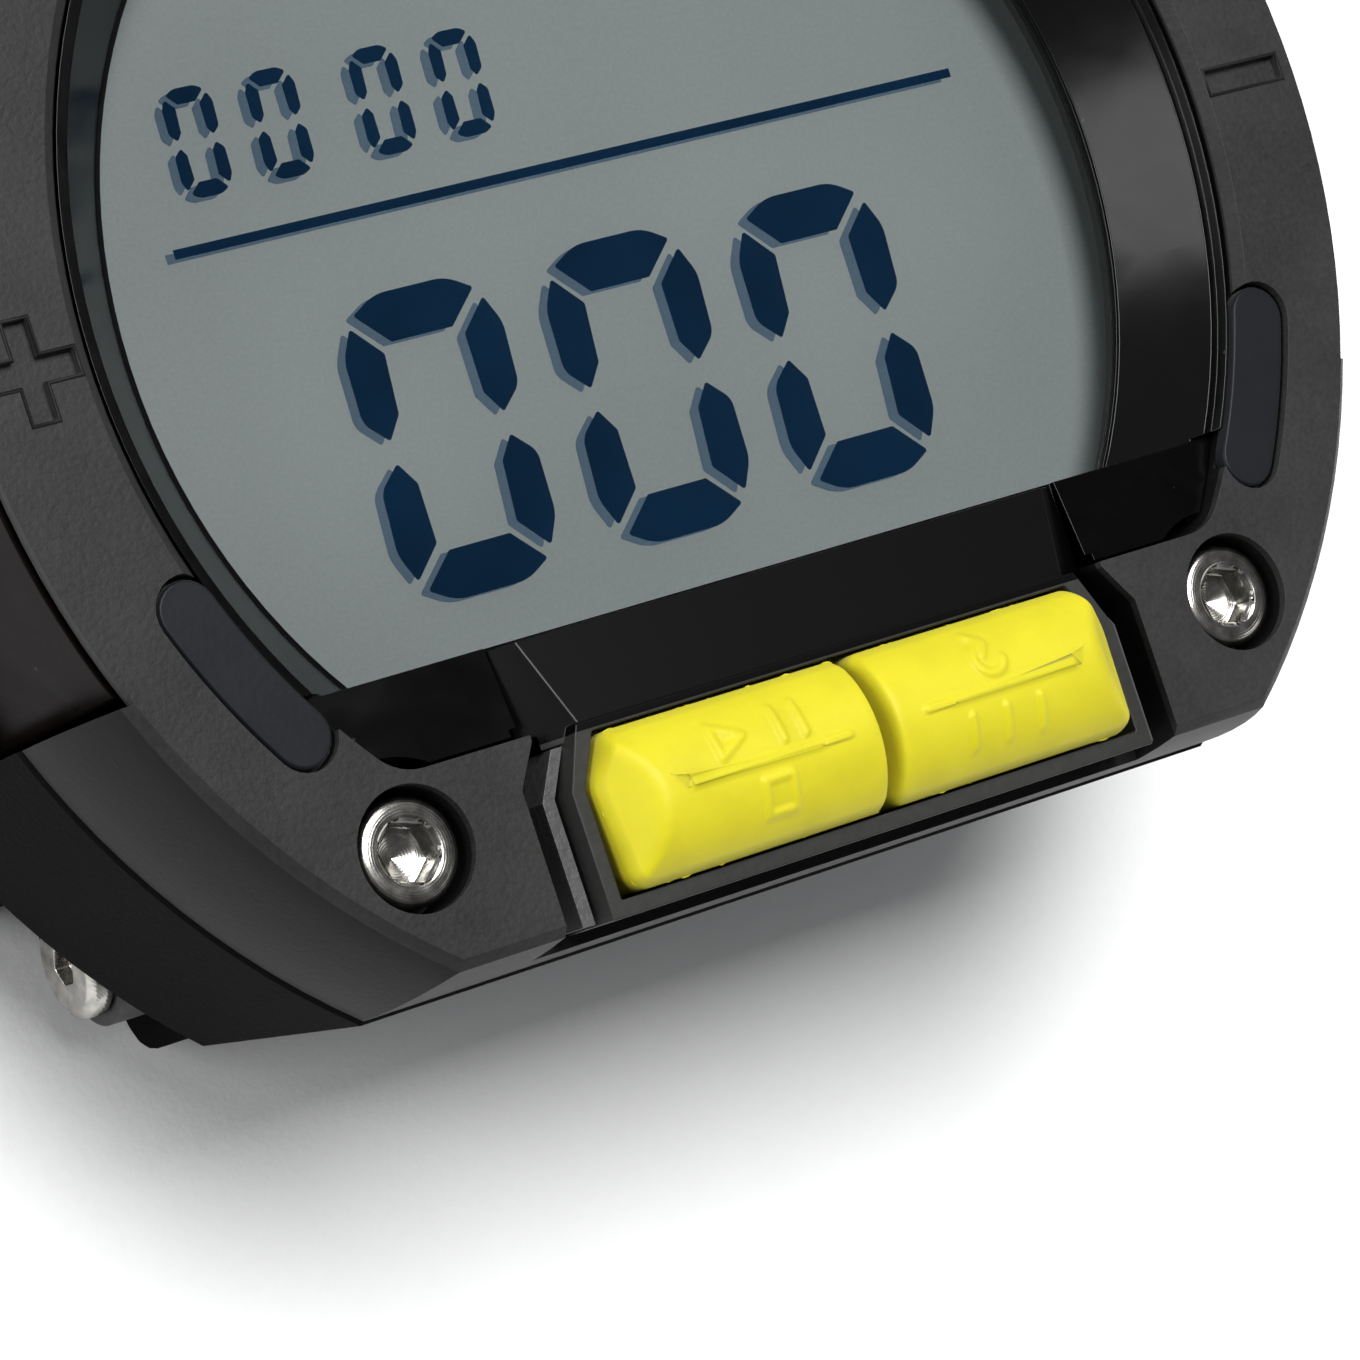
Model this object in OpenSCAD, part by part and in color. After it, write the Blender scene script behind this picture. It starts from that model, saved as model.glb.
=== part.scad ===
// Pocket speed radar: a round-faced Doppler unit lying on its back, face up.
// X runs across the face, Y up the face, Z out of the face. Z = 0 is the
// back of the rear cover. The shapes are drawn around the axis of the round
// face and then moved so that the origin is under the middle of the part.

/* [Face] */
// Radius of the round face
face_r = 28.4; // [26:0.1:36]
// Distance from the face centre to its flat lower edge
face_cut = 22.4; // [20:0.1:28]
// Thickness of the bezel's face plate
plate_t = 2; // [1.6:0.1:2.6]
// Thickness of the housing side walls
wall_t = 1.9; // [1.5:0.1:2.4]
// Amount by which the bezel flank flares out towards the seam
flare = 1.1; // [0.6:0.1:1.6]
// Chamfer around the edge of the face
edge_chamfer = 0.35; // [0.2:0.05:0.6]

/* [Depths] */
// Depth of the front bezel, from the face to the seam
bezel_h = 6; // [5:0.1:7.5]
// Depth of the rear shell
shell_h = 10; // [9.4:0.1:14]
// Depth of the rear cover
cover_h = 6.6; // [6.4:0.1:8]

/* [Window] */
// Radius of the round opening in the face
window_r = 23.4; // [21:0.1:24]
// Distance from the face centre to the flat lower edge of the opening
window_cut = 15.6; // [14.5:0.1:16.5]
// Radius of the display aperture at the bottom of the well
aperture_r = 20.4; // [18:0.1:21]
// Distance from the face centre to the lower edge of the display aperture
aperture_cut = 12.3; // [11:0.1:13]
// Depth of the display surface below the face
well_depth = 5.2; // [4.4:0.1:5.4]

/* [Front keys] */
// Half width of the pair of front keys
key_pair_half = 11; // [10:0.1:11.4]
// Lower edge of the front keys, from the face centre
key_low = 21.7; // [21:0.1:21.9]
// Upper edge of the front keys, from the face centre
key_high = 16.2; // [15.8:0.1:17.4]
// Gap between the two front keys
key_split = 0.35; // [0.3:0.05:0.8]
// Height of the key tops above the face
key_rise = 2.4; // [1.6:0.1:2.8]
// Travel of a front key
key_travel = 0.6; // [0.4:0.05:0.7]

/* [Side keys] */
// Half height of a side key along the rim
side_half = 10.6; // [8:0.1:12]
// Length of a side key through the depth of the housing
side_len = 11; // [9:0.1:12]
// Travel of a side key
side_travel = 0.5; // [0.3:0.05:0.6]
// Gap around a side key
side_gap = 0.35; // [0.25:0.05:0.5]

/* [Screws] */
// Distance of the face screws from the centre line
screw_x = 17.7; // [16.6:0.1:18.4]
// Distance of the face screws below the face centre
screw_y = 18.1; // [17.4:0.1:18.6]
// Head diameter of the M2 socket screws
head_d = 3.8; // [3.6:0.1:4]
// Clearance around a screw head in its counterbore
head_gap = 0.28; // [0.15:0.01:0.35]
// Depth of the head's top below the face
head_sink = 0.55; // [0.3:0.05:1]

/* [Battery] */
// Diameter of the coin cell
cell_d = 24.5; // [20:0.1:25]
// Thickness of the coin cell
cell_t = 5; // [3.2:0.1:5]
// Distance of the battery's axis below the face centre
cell_y = 5.6; // [5:0.1:6.4]

/* [Tilt stand] */
// Outer radius of the stand's round end
stand_r = 25; // [24.6:0.1:25.6]
// Width of the stand's arms
stand_w = 2; // [1.6:0.1:2.4]
// Thickness of the stand
stand_t = 1.9; // [1.5:0.1:2.2]
// Distance of the stand's pivot below the face centre
pivot_y = 17.8; // [17:0.1:18]
// Height of the stand's pivot above the back
pivot_z = 4; // [3.6:0.1:4.2]
// Radius of the eye around each pivot
eye_r = 2.5; // [2.2:0.1:2.6]

/* [Mount] */
// Major diameter of the tripod thread
tripod_d = 6.35; // [6:0.01:6.5]
// Depth of the tripod thread
tripod_depth = 5.6; // [4.5:0.1:5.9]

/* [Hidden] */
$fn = 96;

big = 80;            // Longer than the whole part, for cutting
eps = 0.05;          // Overlap of cutting shapes
fit = 0.05;          // Clearance of running and push fits

// Levels through the depth
cover_top = cover_h;
seam_z = cover_h + shell_h;
face_z = seam_z + bezel_h;
plate_z = face_z - plate_t;
lcd_z = face_z - well_depth;

// Housing outline
seam_r = face_r + flare;
seam_cut = face_cut + flare / 2;
rear_r = seam_r + 0.2;
rear_cut = face_cut - 0.4;
bezel_in_r = face_r - wall_t;
bezel_in_cut = face_cut - wall_t;
shell_in_r = seam_r - wall_t - 0.4;
shell_in_cut = bezel_in_cut;
shell_floor_t = 1.6;
shell_floor_z = cover_top + shell_floor_t;
cover_r = rear_r - 0.5;
cover_cut = rear_cut - 0.4;
cover_round = 2.2;
cover_floor_z = 3.6;
notch = 0.35;        // Step of the rim above each side key
shell_lip = 0.12;    // Amount by which the rear shell stands proud at the seam

// Shift that puts Y = 0 in the middle of the part
centre_y = -(rear_r - seam_cut - shell_lip) / 2;

// Display stack, from the well downwards
collar_r = window_r - 0.12;
collar_top = face_z - 0.45;
surround_r = bezel_in_r - 1.5;
well_top_r = window_r - 0.35;
well_foot_r = aperture_r + 0.15;
lens_t = 0.8;
lens_r = aperture_r + 0.6;
lens_cut = aperture_cut + 0.6;
seal_t = 0.4;
foot_z = lcd_z + seal_t;
glass_t = 1.8;
glass_r = aperture_r + 1.6;
glass_cut = aperture_cut + 1.3;
glass_low = lcd_z - glass_t;
reflector_t = 0.4;
reflector_low = glass_low - reflector_t;
holder_r = glass_r + 1;
holder_cut = glass_cut + 1.2;
zebra_w = 1.4;

// Main board
board_t = 1.2;
board_r = surround_r;
board_cut = bezel_in_cut - 1.2;
main_top = reflector_low - 1.5;
main_low = main_top - board_t;
board_screw_at = [[10.8, 13.9], [-10.8, 13.9], [-16.8, -5.1], [16.8, -5.1]];
board_screw_d = 1.8;
link_y = 20;
link_half = 5;
link_w = 2.4;

// Front key panel
groove_half = key_pair_half + 2.25;
slot_depth = 3;
slot_z = face_z - slot_depth;
panel_half = key_pair_half + 0.7;
panel_lift = 0.4;
panel_t = 1.3;
panel_top = face_z + panel_lift;
panel_gap = 0.2;
frame_w = 0.5;
kink_y = key_high + 1.7;
kink_in = 0.95;
flange_t = 0.7;
flange_top = panel_top - panel_t - 0.1;
flange_low = flange_top - flange_t;
dome_h = 0.35;
key_board_t = 1;
key_board_top = flange_low - key_travel - 0.1 - dome_h;
key_board_low = key_board_top - key_board_t;
key_board_y0 = -bezel_in_cut + 0.2;
key_board_y1 = -key_high - 0.9;
key_board_half = key_pair_half - 0.2;
key_x = key_pair_half / 2;
key_y = (key_low + key_high) / 2;
key_shoulder = 0.75;
tab_half = key_pair_half + 1.2;
tab_slope = 2.1;
tab_drop = 1.35;

// Side keys
side_top = face_z - 0.9;
side_low = side_top - side_len;
side_out_r = face_r - 0.3;
side_in_r = bezel_in_r;
side_flange_t = 0.5;
side_flange_r = bezel_in_r - fit - side_flange_t;
side_flange_half = side_half + 1;

// Face screws and their inserts
head_h = 2;
shaft_d = 2;
screw_len = 11;
head_top = face_z - head_sink;
seat_z = head_top - head_h;
screw_tip = seat_z - screw_len;
boss_r = 3;
insert_r = 1.7;
insert_l = 4;
insert_z = seam_z - 0.6 - insert_l;

// Battery and door
door_r = cell_d / 2 + 1.1;
door_t = 1.7;
door_z = 0.5;
lug_reach = 0.9;
door_turn = 55;       // Turn that brings the lugs to their entries
cup_r = cell_d / 2 + 0.35;
cell_z = door_z + door_t + 0.6;
roof_z = cell_z + cell_t + 0.6;
roof_t = 1.2;

// Radar
radar_w = 22;
radar_h = 11;
radar_y = 14.6;
radar_z = cover_floor_z + 0.6;
radar_t = 0.8;
radome_t = 1;
radome_lip = 0.8;

// Corner fastenings of the rear cover
cover_screw_at = [[15.4, 13.4], [-15.4, 13.4], [-15.8, -12.5], [15.8, -12.5]];
cover_head_d = 3.8;

// Tripod thread
tripod_out_r = tripod_d / 2 + 0.7;
tripod_z = roof_z + tripod_out_r + 0.35;
tripod_y = rear_cut - 0.7;
tripod_end_t = 0.5;

// Stand
stand_z = 0.5;
stand_gap = 0.35;
ear_in = stand_r - 5.2;
ear_out = ear_in + stand_w;
pivot_d = 2;
pivot_head_d = 4.1;
pivot_head_t = 0.9;
pivot_len = 5;

function flank(base, amount, t) = base + amount * (1 - pow(1 - t, 2));
// Points of an arc around c, from angle a0 to a1 in n steps
function arc(c, r, a0, a1, n) = [for (i = [0 : n])
    c + r * [cos(a0 + (a1 - a0) * i / n), sin(a0 + (a1 - a0) * i / n)]];
function key_outline(half, low, high) = [
    [half, -low], [half, -kink_y], [half - kink_in, -high], [0, -high], [0, -low]
];

// A round body with a flat lower side, both following their own profiles of
// [distance from the axis, height]
module flat_round(round_points, flat_points) {
    intersection() {
        rotate_extrude($fn = 180) polygon(round_points);
        rotate([90, 0, 90]) linear_extrude(2 * big, center = true) polygon(flat_points);
    }
}

// Straight-sided round body with a flat lower side
module flat_disc(r, cut, z0, z1) {
    intersection() {
        translate([0, 0, z0]) cylinder(r = r, h = z1 - z0, $fn = 180);
        translate([-big, -cut, z0 - 1]) cube([2 * big, 2 * big, z1 - z0 + 2]);
    }
}

module centred() {
    translate([0, centre_y, 0]) children();
}

module both_sides() {
    children();
    mirror([1, 0, 0]) children();
}

module bar(x0, x1, y0, y1, z0, z1) {
    translate([x0, y0, z0]) cube([x1 - x0, y1 - y0, z1 - z0]);
}

module post(r, z0, z1) {
    translate([0, 0, z0]) cylinder(r = r, h = z1 - z0);
}

// Flat band between two radii
module ring(r0, r1, z0, z1) {
    difference() {
        translate([0, 0, z0]) cylinder(r = r1, h = z1 - z0, $fn = 180);
        translate([0, 0, z0 - 1]) cylinder(r = r0, h = z1 - z0 + 2, $fn = 180);
    }
}

// Sector of a flat band around the direction a, with half angle h
module ring_sector(r0, r1, z0, z1, a, h) {
    intersection() {
        ring(r0, r1, z0, z1);
        rotate([0, 0, a]) linear_extrude(2 * big, center = true) polygon([
            [0, 0], [big * cos(h), -big * sin(h)], [big * 1.6, 0], [big * cos(h), big * sin(h)]
        ]);
    }
}

module face_screw_places() {
    both_sides() translate([-screw_x, -screw_y, 0]) children();
}

/* ---- Front of the housing ---- */

module bezel_body() {
    steps = 5;
    low = bezel_h - edge_chamfer;
    round_side = [for (i = [0 : steps])
        [flank(face_r, flare, i / steps), face_z - edge_chamfer - low * i / steps]];
    flat_side = [for (i = [0 : steps])
        [-flank(face_cut, flare / 2, i / steps), face_z - edge_chamfer - low * i / steps]];
    flat_round(
        concat([[0, face_z], [face_r - edge_chamfer, face_z]], round_side, [[0, seam_z]]),
        concat([[big, face_z], [-face_cut + edge_chamfer, face_z]], flat_side, [[big, seam_z]])
    );
}

// What a fillet takes from the corner between a circle and its lower chord
module corner_fillet(r, cut, corner) {
    cy = -cut + corner;
    cx = sqrt(pow(r - corner, 2) - cy * cy);
    a = atan2(cy, cx);
    difference() {
        polygon([
            [cx, cy], [cx, -cut - 1], [r + 1, -cut - 1], [(r + 1) * cos(a), (r + 1) * sin(a)]
        ]);
        translate([cx, cy]) circle(corner, $fn = 48);
    }
}

module window_shape(r, cut, z0, z1) {
    translate([0, 0, z0]) linear_extrude(z1 - z0) difference() {
        intersection() {
            circle(r, $fn = 180);
            translate([-big, -cut]) square([2 * big, 2 * big]);
        }
        both_sides() corner_fillet(r, cut, 2);
    }
}

module groove_outline(half) {
    polygon([
        [-half, -big], [half, -big], [half, -kink_y + 0.6], [half - kink_in, -window_cut - 0.2],
        [half - kink_in, -window_cut + 1], [-half + kink_in, -window_cut + 1],
        [-half + kink_in, -window_cut - 0.2], [-half, -kink_y + 0.6]
    ]);
}

module side_window() {
    intersection() {
        ring(side_in_r - 0.3, face_r + 4, side_low - side_gap, side_top + side_gap);
        bar(-big, big, -side_half - side_gap, side_half + side_gap, 0, big);
    }
}

mark_arm = 1.7;
mark_half = 0.42;
mark_depth = 0.3;
mark_x = face_r - 2.7;
mark_y = 0.3;

module mark_bar() {
    translate([-mark_arm, -mark_half, -mark_depth]) cube([2 * mark_arm, 2 * mark_half, 1]);
}

inlay_in_r = window_r - 0.1;
inlay_out_r = window_r + 2.1;
inlay_at = 207;
inlay_half = 6.5;

module inlay_shape(grow, z0, z1) {
    mid = (inlay_in_r + inlay_out_r) / 2;
    half_w = (inlay_out_r - inlay_in_r) / 2 + grow;
    a0 = inlay_at - inlay_half;
    a1 = inlay_at + inlay_half;
    translate([0, 0, z0]) linear_extrude(z1 - z0) polygon(concat(
        arc([0, 0], mid + half_w, a0, a1, 12),
        arc(mid * [cos(a1), sin(a1)], half_w, a1 + 15, a1 + 165, 10),
        arc([0, 0], mid - half_w, a1, a0, 12),
        arc(mid * [cos(a0), sin(a0)], half_w, a0 + 195, a0 + 345, 10)
    ));
}

module front_bezel() {
    tongue_h = 1.2;
    color("#38393b") centred() difference() {
        union() {
            difference() {
                bezel_body();
                flat_disc(bezel_in_r, bezel_in_cut, seam_z - eps, plate_z);
            }
            // Screw bosses at the lower corners
            intersection() {
                face_screw_places() post(boss_r, seam_z, plate_z + eps);
                flat_disc(face_r, face_cut, 0, big);
            }
            // Tongue that locates the bezel in the rear shell
            ring_sector(bezel_in_r - 0.9, bezel_in_r + eps, seam_z - tongue_h, seam_z + 2, 90, 52);
        }
        // Round window with its flat lower edge and small inner chamfer
        window_shape(window_r, window_cut, seam_z, face_z + 1);
        translate([0, 0, face_z - 0.45]) intersection() {
            cylinder(r1 = window_r - eps, r2 = window_r + 0.5, h = 0.5, $fn = 180);
            translate([-big, -window_cut + 2, 0]) cube([2 * big, 2 * big, 1]);
        }
        // Slot for the key panel, open through the lower wall
        translate([0, 0, slot_z]) linear_extrude(slot_depth + 1) groove_outline(groove_half);
        // Counterbores and clearance holes of the face screws
        face_screw_places() {
            post(head_d / 2 + head_gap, seat_z, big);
            post(shaft_d / 2 + 0.15, seam_z - 1, big);
        }
        // Side key windows, and the shallow steps in the rim above them
        side_window();
        intersection() {
            ring(face_r - notch, face_r + 4, side_top, face_z + 1);
            bar(-big, big, -side_half - side_gap, side_half + side_gap, 0, big);
        }
        // Recessed plus and minus marks beside the side keys
        translate([-mark_x, mark_y, face_z]) {
            mark_bar();
            rotate(90) mark_bar();
        }
        translate([mark_x, mark_y, face_z]) mark_bar();
        both_sides() inlay_shape(0.15, face_z - 0.8, face_z + 1);
    }
}

module inlay() {
    inlay_shape(0, face_z - 0.8, face_z - 0.18);
}

module inlay_left() {
    color("#24272c") centred() inlay();
}

module inlay_right() {
    color("#24272c") centred() mirror([1, 0, 0]) inlay();
}

module bezel_screws() {
    socket_af = 1.5;
    socket_depth = 1.1;
    edge = 0.2;
    color("#c9c9c6") centred() face_screw_places() difference() {
        union() {
            post(head_d / 2, seat_z, head_top - edge);
            translate([0, 0, head_top - edge]) cylinder(d1 = head_d, d2 = head_d - 2 * edge, h = edge);
            post(shaft_d / 2, screw_tip, seat_z + eps);
        }
        translate([0, 0, head_top - socket_depth]) cylinder(d = socket_af / cos(30), h = 2, $fn = 6);
    }
}

/* ---- Display ---- */

module display_surround() {
    rim = 0.35;
    ledge_drop = 0.75;
    lip_z = foot_z + lens_t;
    color("#0c0c0d") centred() difference() {
        union() {
            // Collar that fills the window opening
            window_shape(collar_r, window_cut - 0.12, plate_z - eps, collar_top);
            // Flange clamped under the face plate
            flat_disc(surround_r, window_cut + 1, foot_z, plate_z);
        }
        // Display well, narrowing downwards, with its flat lower side
        intersection() {
            translate([0, 0, lip_z + 0.4])
                cylinder(r1 = well_foot_r, r2 = well_top_r, h = collar_top - lip_z - 0.4 + eps, $fn = 180);
            bar(-big, big, -aperture_cut, big, 0, big);
        }
        flat_disc(aperture_r, aperture_cut, foot_z - 1, face_z);
        // Rebate that seats the lens
        flat_disc(lens_r + fit, lens_cut + fit, foot_z - eps, lip_z);
        // Gloss rim dropped a little towards the well
        translate([0, 0, collar_top - rim]) intersection() {
            cylinder(r1 = well_top_r, r2 = collar_r - 0.1, h = rim + eps, $fn = 180);
            bar(-big, big, -aperture_cut, big, 0, big);
        }
        // Ledge between the display and the keys, sloping down to the well
        rotate([90, 0, 90]) linear_extrude(2 * big, center = true) polygon([
            [-window_cut - 1, collar_top - 0.1], [-aperture_cut + 0.1, collar_top - ledge_drop],
            [-aperture_cut + 0.1, face_z + 1], [-window_cut - 1, face_z + 1]
        ]);
        // Room for the key panel, its tab and the screw bosses
        translate([0, 0, foot_z - 1]) linear_extrude(big) difference() {
            groove_outline(groove_half + 0.3);
            translate([-big, -window_cut + 0.4]) square([2 * big, big]);
        }
        bar(-tab_half - 0.1, tab_half + 0.1, -big, -aperture_cut + eps, face_z - tab_drop - 0.1, big);
        face_screw_places() post(boss_r + 0.2, 0, big);
    }
}

module window_lens() {
    color("#dfe7ea", 0.35) centred() flat_disc(lens_r, lens_cut, foot_z, foot_z + lens_t);
}

module lens_seal() {
    color("#1a1a1a") centred() difference() {
        flat_disc(glass_r - 0.1, glass_cut - 0.1, lcd_z, foot_z);
        flat_disc(lens_r, lens_cut, lcd_z - 1, foot_z + 1);
    }
}

module lcd_glass() {
    color("#8d9894") centred() flat_disc(glass_r, glass_cut, glass_low, lcd_z);
}

module lcd_reflector() {
    color("#b9c2bd") centred() difference() {
        flat_disc(aperture_r + 1, aperture_cut - 0.5, reflector_low, glass_low);
        bar(-big, big, 17.6, big, 0, big);
    }
}

module zebra_places(grow) {
    bar(-8.5 - grow, 8.5 + grow, 18 - grow, 18 + zebra_w + grow, main_top, glass_low);
    bar(-15 - grow, 15 + grow, -aperture_cut - 1 - grow, -aperture_cut - 1 + zebra_w + grow,
        main_top, glass_low);
}

module zebra_strips() {
    color("#4a4a4a") centred() zebra_places(0);
}

module lcd_holder() {
    color("#d8d8d2") centred() difference() {
        flat_disc(holder_r, holder_cut, main_top, lcd_z);
        // Pocket of the glass, and the seat of the reflector below it
        flat_disc(glass_r + fit, glass_cut + fit, glass_low, lcd_z + 1);
        flat_disc(aperture_r + 1 + fit, aperture_cut - 0.5 + fit, reflector_low, big);
        flat_disc(aperture_r - 0.6, aperture_cut - 1.5, 0, big);
        zebra_places(0.08);
    }
}

/* ---- Front keys ---- */

module button_panel() {
    tab_top = face_z + 0.3;
    tab_low = face_z - tab_drop;
    color("#2c2c2d") centred() difference() {
        union() {
            // Plate around the keys
            translate([0, 0, panel_top - panel_t]) linear_extrude(panel_t) both_sides()
                polygon(key_outline(panel_half, face_cut, window_cut + 0.1));
            // Lower wall, filling the slot in the bezel
            bar(-panel_half, panel_half, -face_cut, -face_cut + 0.5, slot_z, panel_top);
            // Tab that slopes down from the keys to the display
            intersection() {
                rotate([90, 0, 90]) linear_extrude(2 * big, center = true) polygon([
                    [-window_cut - 0.1, tab_low], [-window_cut - 0.1, panel_top - panel_t],
                    [-window_cut - 0.6, panel_top - panel_t], [-window_cut - 0.6, face_z + 0.15],
                    [-aperture_cut - 0.1, face_z - 0.7], [-aperture_cut - 0.1, tab_low]
                ]);
                rotate([90, 0, 0]) linear_extrude(2 * big, center = true) polygon([
                    [-tab_half, tab_low], [-tab_half + tab_slope, tab_top],
                    [tab_half - tab_slope, tab_top], [tab_half, tab_low]
                ]);
            }
        }
        translate([0, 0, slot_z]) linear_extrude(big) both_sides()
            polygon(key_outline(key_pair_half + 0.15, key_low + 0.1, key_high - 0.12));
    }
}

module panel_frame() {
    x0 = panel_half + panel_gap;
    y1 = window_cut + 0.65;
    color("#55565a") centred() {
        translate([0, 0, slot_z]) linear_extrude(slot_depth - 0.5) both_sides() difference() {
            polygon(key_outline(x0 + frame_w, face_cut - 0.1, y1));
            polygon(key_outline(x0, big, y1 - eps));
        }
        // Bar under the panel that joins the two side strips
        bar(-x0 - frame_w + kink_in, x0 + frame_w - kink_in, key_board_y1 + 0.1, -y1,
            key_board_low, slot_z + eps);
    }
}

// One key: its crowned cap, and the flange that holds it under the panel
module front_key() {
    gap = key_split / 2;
    top = face_z + key_rise;
    // The cap is arched across its width, and its outer end slopes at 45 degrees
    arch = key_rise - key_shoulder;
    half_w = (key_low - key_high) / 2;
    crown_r = (half_w * half_w + arch * arch) / (2 * arch);
    color("#e6e23c") centred() {
        intersection() {
            translate([0, 0, flange_low]) linear_extrude(top - flange_low) difference() {
                polygon(key_outline(key_pair_half, key_low, key_high));
                translate([-1, -big]) square([1 + gap, big]);
            }
            union() {
                translate([0, -key_y, top - crown_r]) rotate([0, 90, 0])
                    cylinder(r = crown_r, h = 2 * big, center = true, $fn = 180);
                bar(-big, big, -big, 0, 0, face_z + key_shoulder - 0.05);
            }
            rotate([90, 0, 0]) linear_extrude(2 * big, center = true) polygon([
                [-1, 0], [key_pair_half + 1, 0], [key_pair_half + 1, face_z + key_shoulder - 1],
                [key_pair_half - arch, top], [-1, top]
            ]);
        }
        intersection() {
            translate([0, 0, flange_low]) linear_extrude(flange_t)
                polygon(key_outline(key_pair_half + 0.4, key_low, key_high - 0.35));
            bar(gap, big, -big, 0, 0, big);
        }
    }
}

module start_key() {
    mirror([1, 0, 0]) front_key();
}

module reset_key() {
    front_key();
}

key_board_screw_x = 4.6;
key_board_screw_y = -18.7;

module key_board() {
    color("#1f6b3a") centred() difference() {
        bar(-key_board_half, key_board_half, key_board_y0, key_board_y1, key_board_low, key_board_top);
        for (x = [-key_board_screw_x, key_board_screw_x]) translate([x, key_board_screw_y, 0]) {
            post(1.25, key_board_top - 0.5, big);
            post(0.85, 0, big);
        }
    }
}

module key_domes() {
    color("#c8b070") centred() for (x = [-key_x - 2, key_x + 2])
        translate([x, -key_y, key_board_top]) cylinder(r1 = 2.2, r2 = 1.4, h = dome_h);
}

module key_board_screws() {
    color("#b8b8b4") centred() for (x = [-key_board_screw_x, key_board_screw_x])
        translate([x, key_board_screw_y, 0]) {
            post(1.2, key_board_top - 0.5, key_board_top - 0.05);
            post(0.8, key_board_low - 2.4, key_board_top - 0.45);
        }
}

/* ---- Side keys ---- */

module side_key() {
    step_z = plate_z - 0.2;
    intersection() {
        union() {
            ring(side_in_r - 0.1, side_out_r, side_low, step_z);
            // Thinner beside the face plate, where the key needs room to move in
            ring(side_in_r + side_travel, side_out_r, step_z - eps, side_top);
        }
        bar(0, big, -side_half, side_half, 0, big);
    }
    intersection() {
        ring(side_flange_r, side_flange_r + side_flange_t, side_low - 0.6, step_z);
        bar(0, big, -side_flange_half, side_flange_half, 0, big);
    }
}

module plus_key() {
    color("#2b2626") centred() mirror([1, 0, 0]) side_key();
}

module minus_key() {
    color("#2b2626") centred() side_key();
}

module side_switches() {
    body_out = board_r - 0.1;
    body_in = body_out - 1.8;
    tip = side_flange_r - side_travel - 0.1;
    color("#8f8f8c") centred() both_sides() {
        bar(body_in, body_out, -3, 3, main_top, main_top + 3.4);
        translate([body_out - eps, 0, main_top + 2]) rotate([0, 90, 0])
            cylinder(r = 0.9, h = tip - body_out + eps);
    }
}

/* ---- Boards ---- */

module main_board() {
    color("#1f6b3a") centred() difference() {
        flat_disc(board_r, board_cut, main_low, main_top);
        face_screw_places() post(boss_r + 0.3, 0, big);
        // Cut-out over the tripod thread
        bar(-tripod_out_r - 2.2, tripod_out_r + 2.2, -big,
            -tripod_y + tripod_depth + tripod_end_t + 0.3, 0, big);
        for (p = board_screw_at) translate(p) post(board_screw_d / 2 + 0.1, 0, big);
    }
}

module board_chips() {
    color("#202022") centred() {
        bar(-3.5, 3.5, 1, 8, main_top, main_top + 1.2);
        bar(-12, -8, -2, 3, main_top, main_top + 1.1);
        bar(8, 12, -1, 3, main_top, main_top + 1.1);
        bar(12.5, 17.5, 2, 6, main_low - 1.4, main_low);
        bar(-18, -13, 3, 7, main_low - 1.4, main_low);
    }
}

module buzzer() {
    color("#151515") centred() translate([0, 13.2, 0]) difference() {
        post(4.4, main_low - 2.6, main_low);
        post(0.8, main_low - 3, main_low - 1.2);
    }
}

module board_screws() {
    color("#b8b8b4") centred() for (p = board_screw_at) translate(p) {
        post(board_screw_d / 2, main_low - 2.6, main_top + eps);
        difference() {
            post(board_screw_d * 0.9, main_top, main_top + 1);
            bar(-2, 2, -0.25, 0.25, main_top + 0.5, big);
        }
    }
}

module board_link() {
    color("#1c1c1c") centred() bar(-link_half, link_half, link_y - link_w / 2, link_y + link_w / 2,
        radar_z + radar_t, main_low);
}

/* ---- Radar ---- */

module radar_board() {
    y0 = radar_y - radar_h / 2;
    color("#e9e4d4") centred() bar(-radar_w / 2, radar_w / 2, y0, link_y + link_w / 2 + 0.4,
        radar_z, radar_z + radar_t);
}

module patch_antennas() {
    patch = 3.3;
    pitch_x = 5;
    pitch_y = 5;
    t = 0.07;
    color("#d0a060") centred() for (i = [-1.5 : 1.5], j = [-0.5, 0.5])
        translate([i * pitch_x - patch / 2, radar_y - 0.4 + j * pitch_y - patch / 2, radar_z - t])
            cube([patch, patch, t]);
}

module radar_can() {
    wall = 0.3;
    y0 = radar_y - radar_h / 2 + 0.8;
    y1 = link_y - link_w / 2 - 0.8;
    low = radar_z + radar_t;
    high = cover_top - 0.1;
    color("#c4c6c8") centred() difference() {
        bar(-8.5, 8.5, y0, y1, low, high);
        bar(-8.5 + wall, 8.5 - wall, y0 + wall, y1 - wall, low - eps, high - wall);
    }
}

radome_half = radar_w / 2 - 1;
radome_y0 = radar_y - radar_h / 2 + 1;
radome_y1 = radar_y + radar_h / 2 - 1.4;

module radome() {
    lip = radome_lip;
    color("#1d1d1f") centred() {
        bar(-radome_half, radome_half, radome_y0, radome_y1, 0.1, 1.2);
        bar(-radome_half - lip, radome_half + lip, radome_y0 - lip, radome_y1 + lip, 1.2, 1.2 + radome_t);
    }
}

/* ---- Rear shell ---- */

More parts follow.
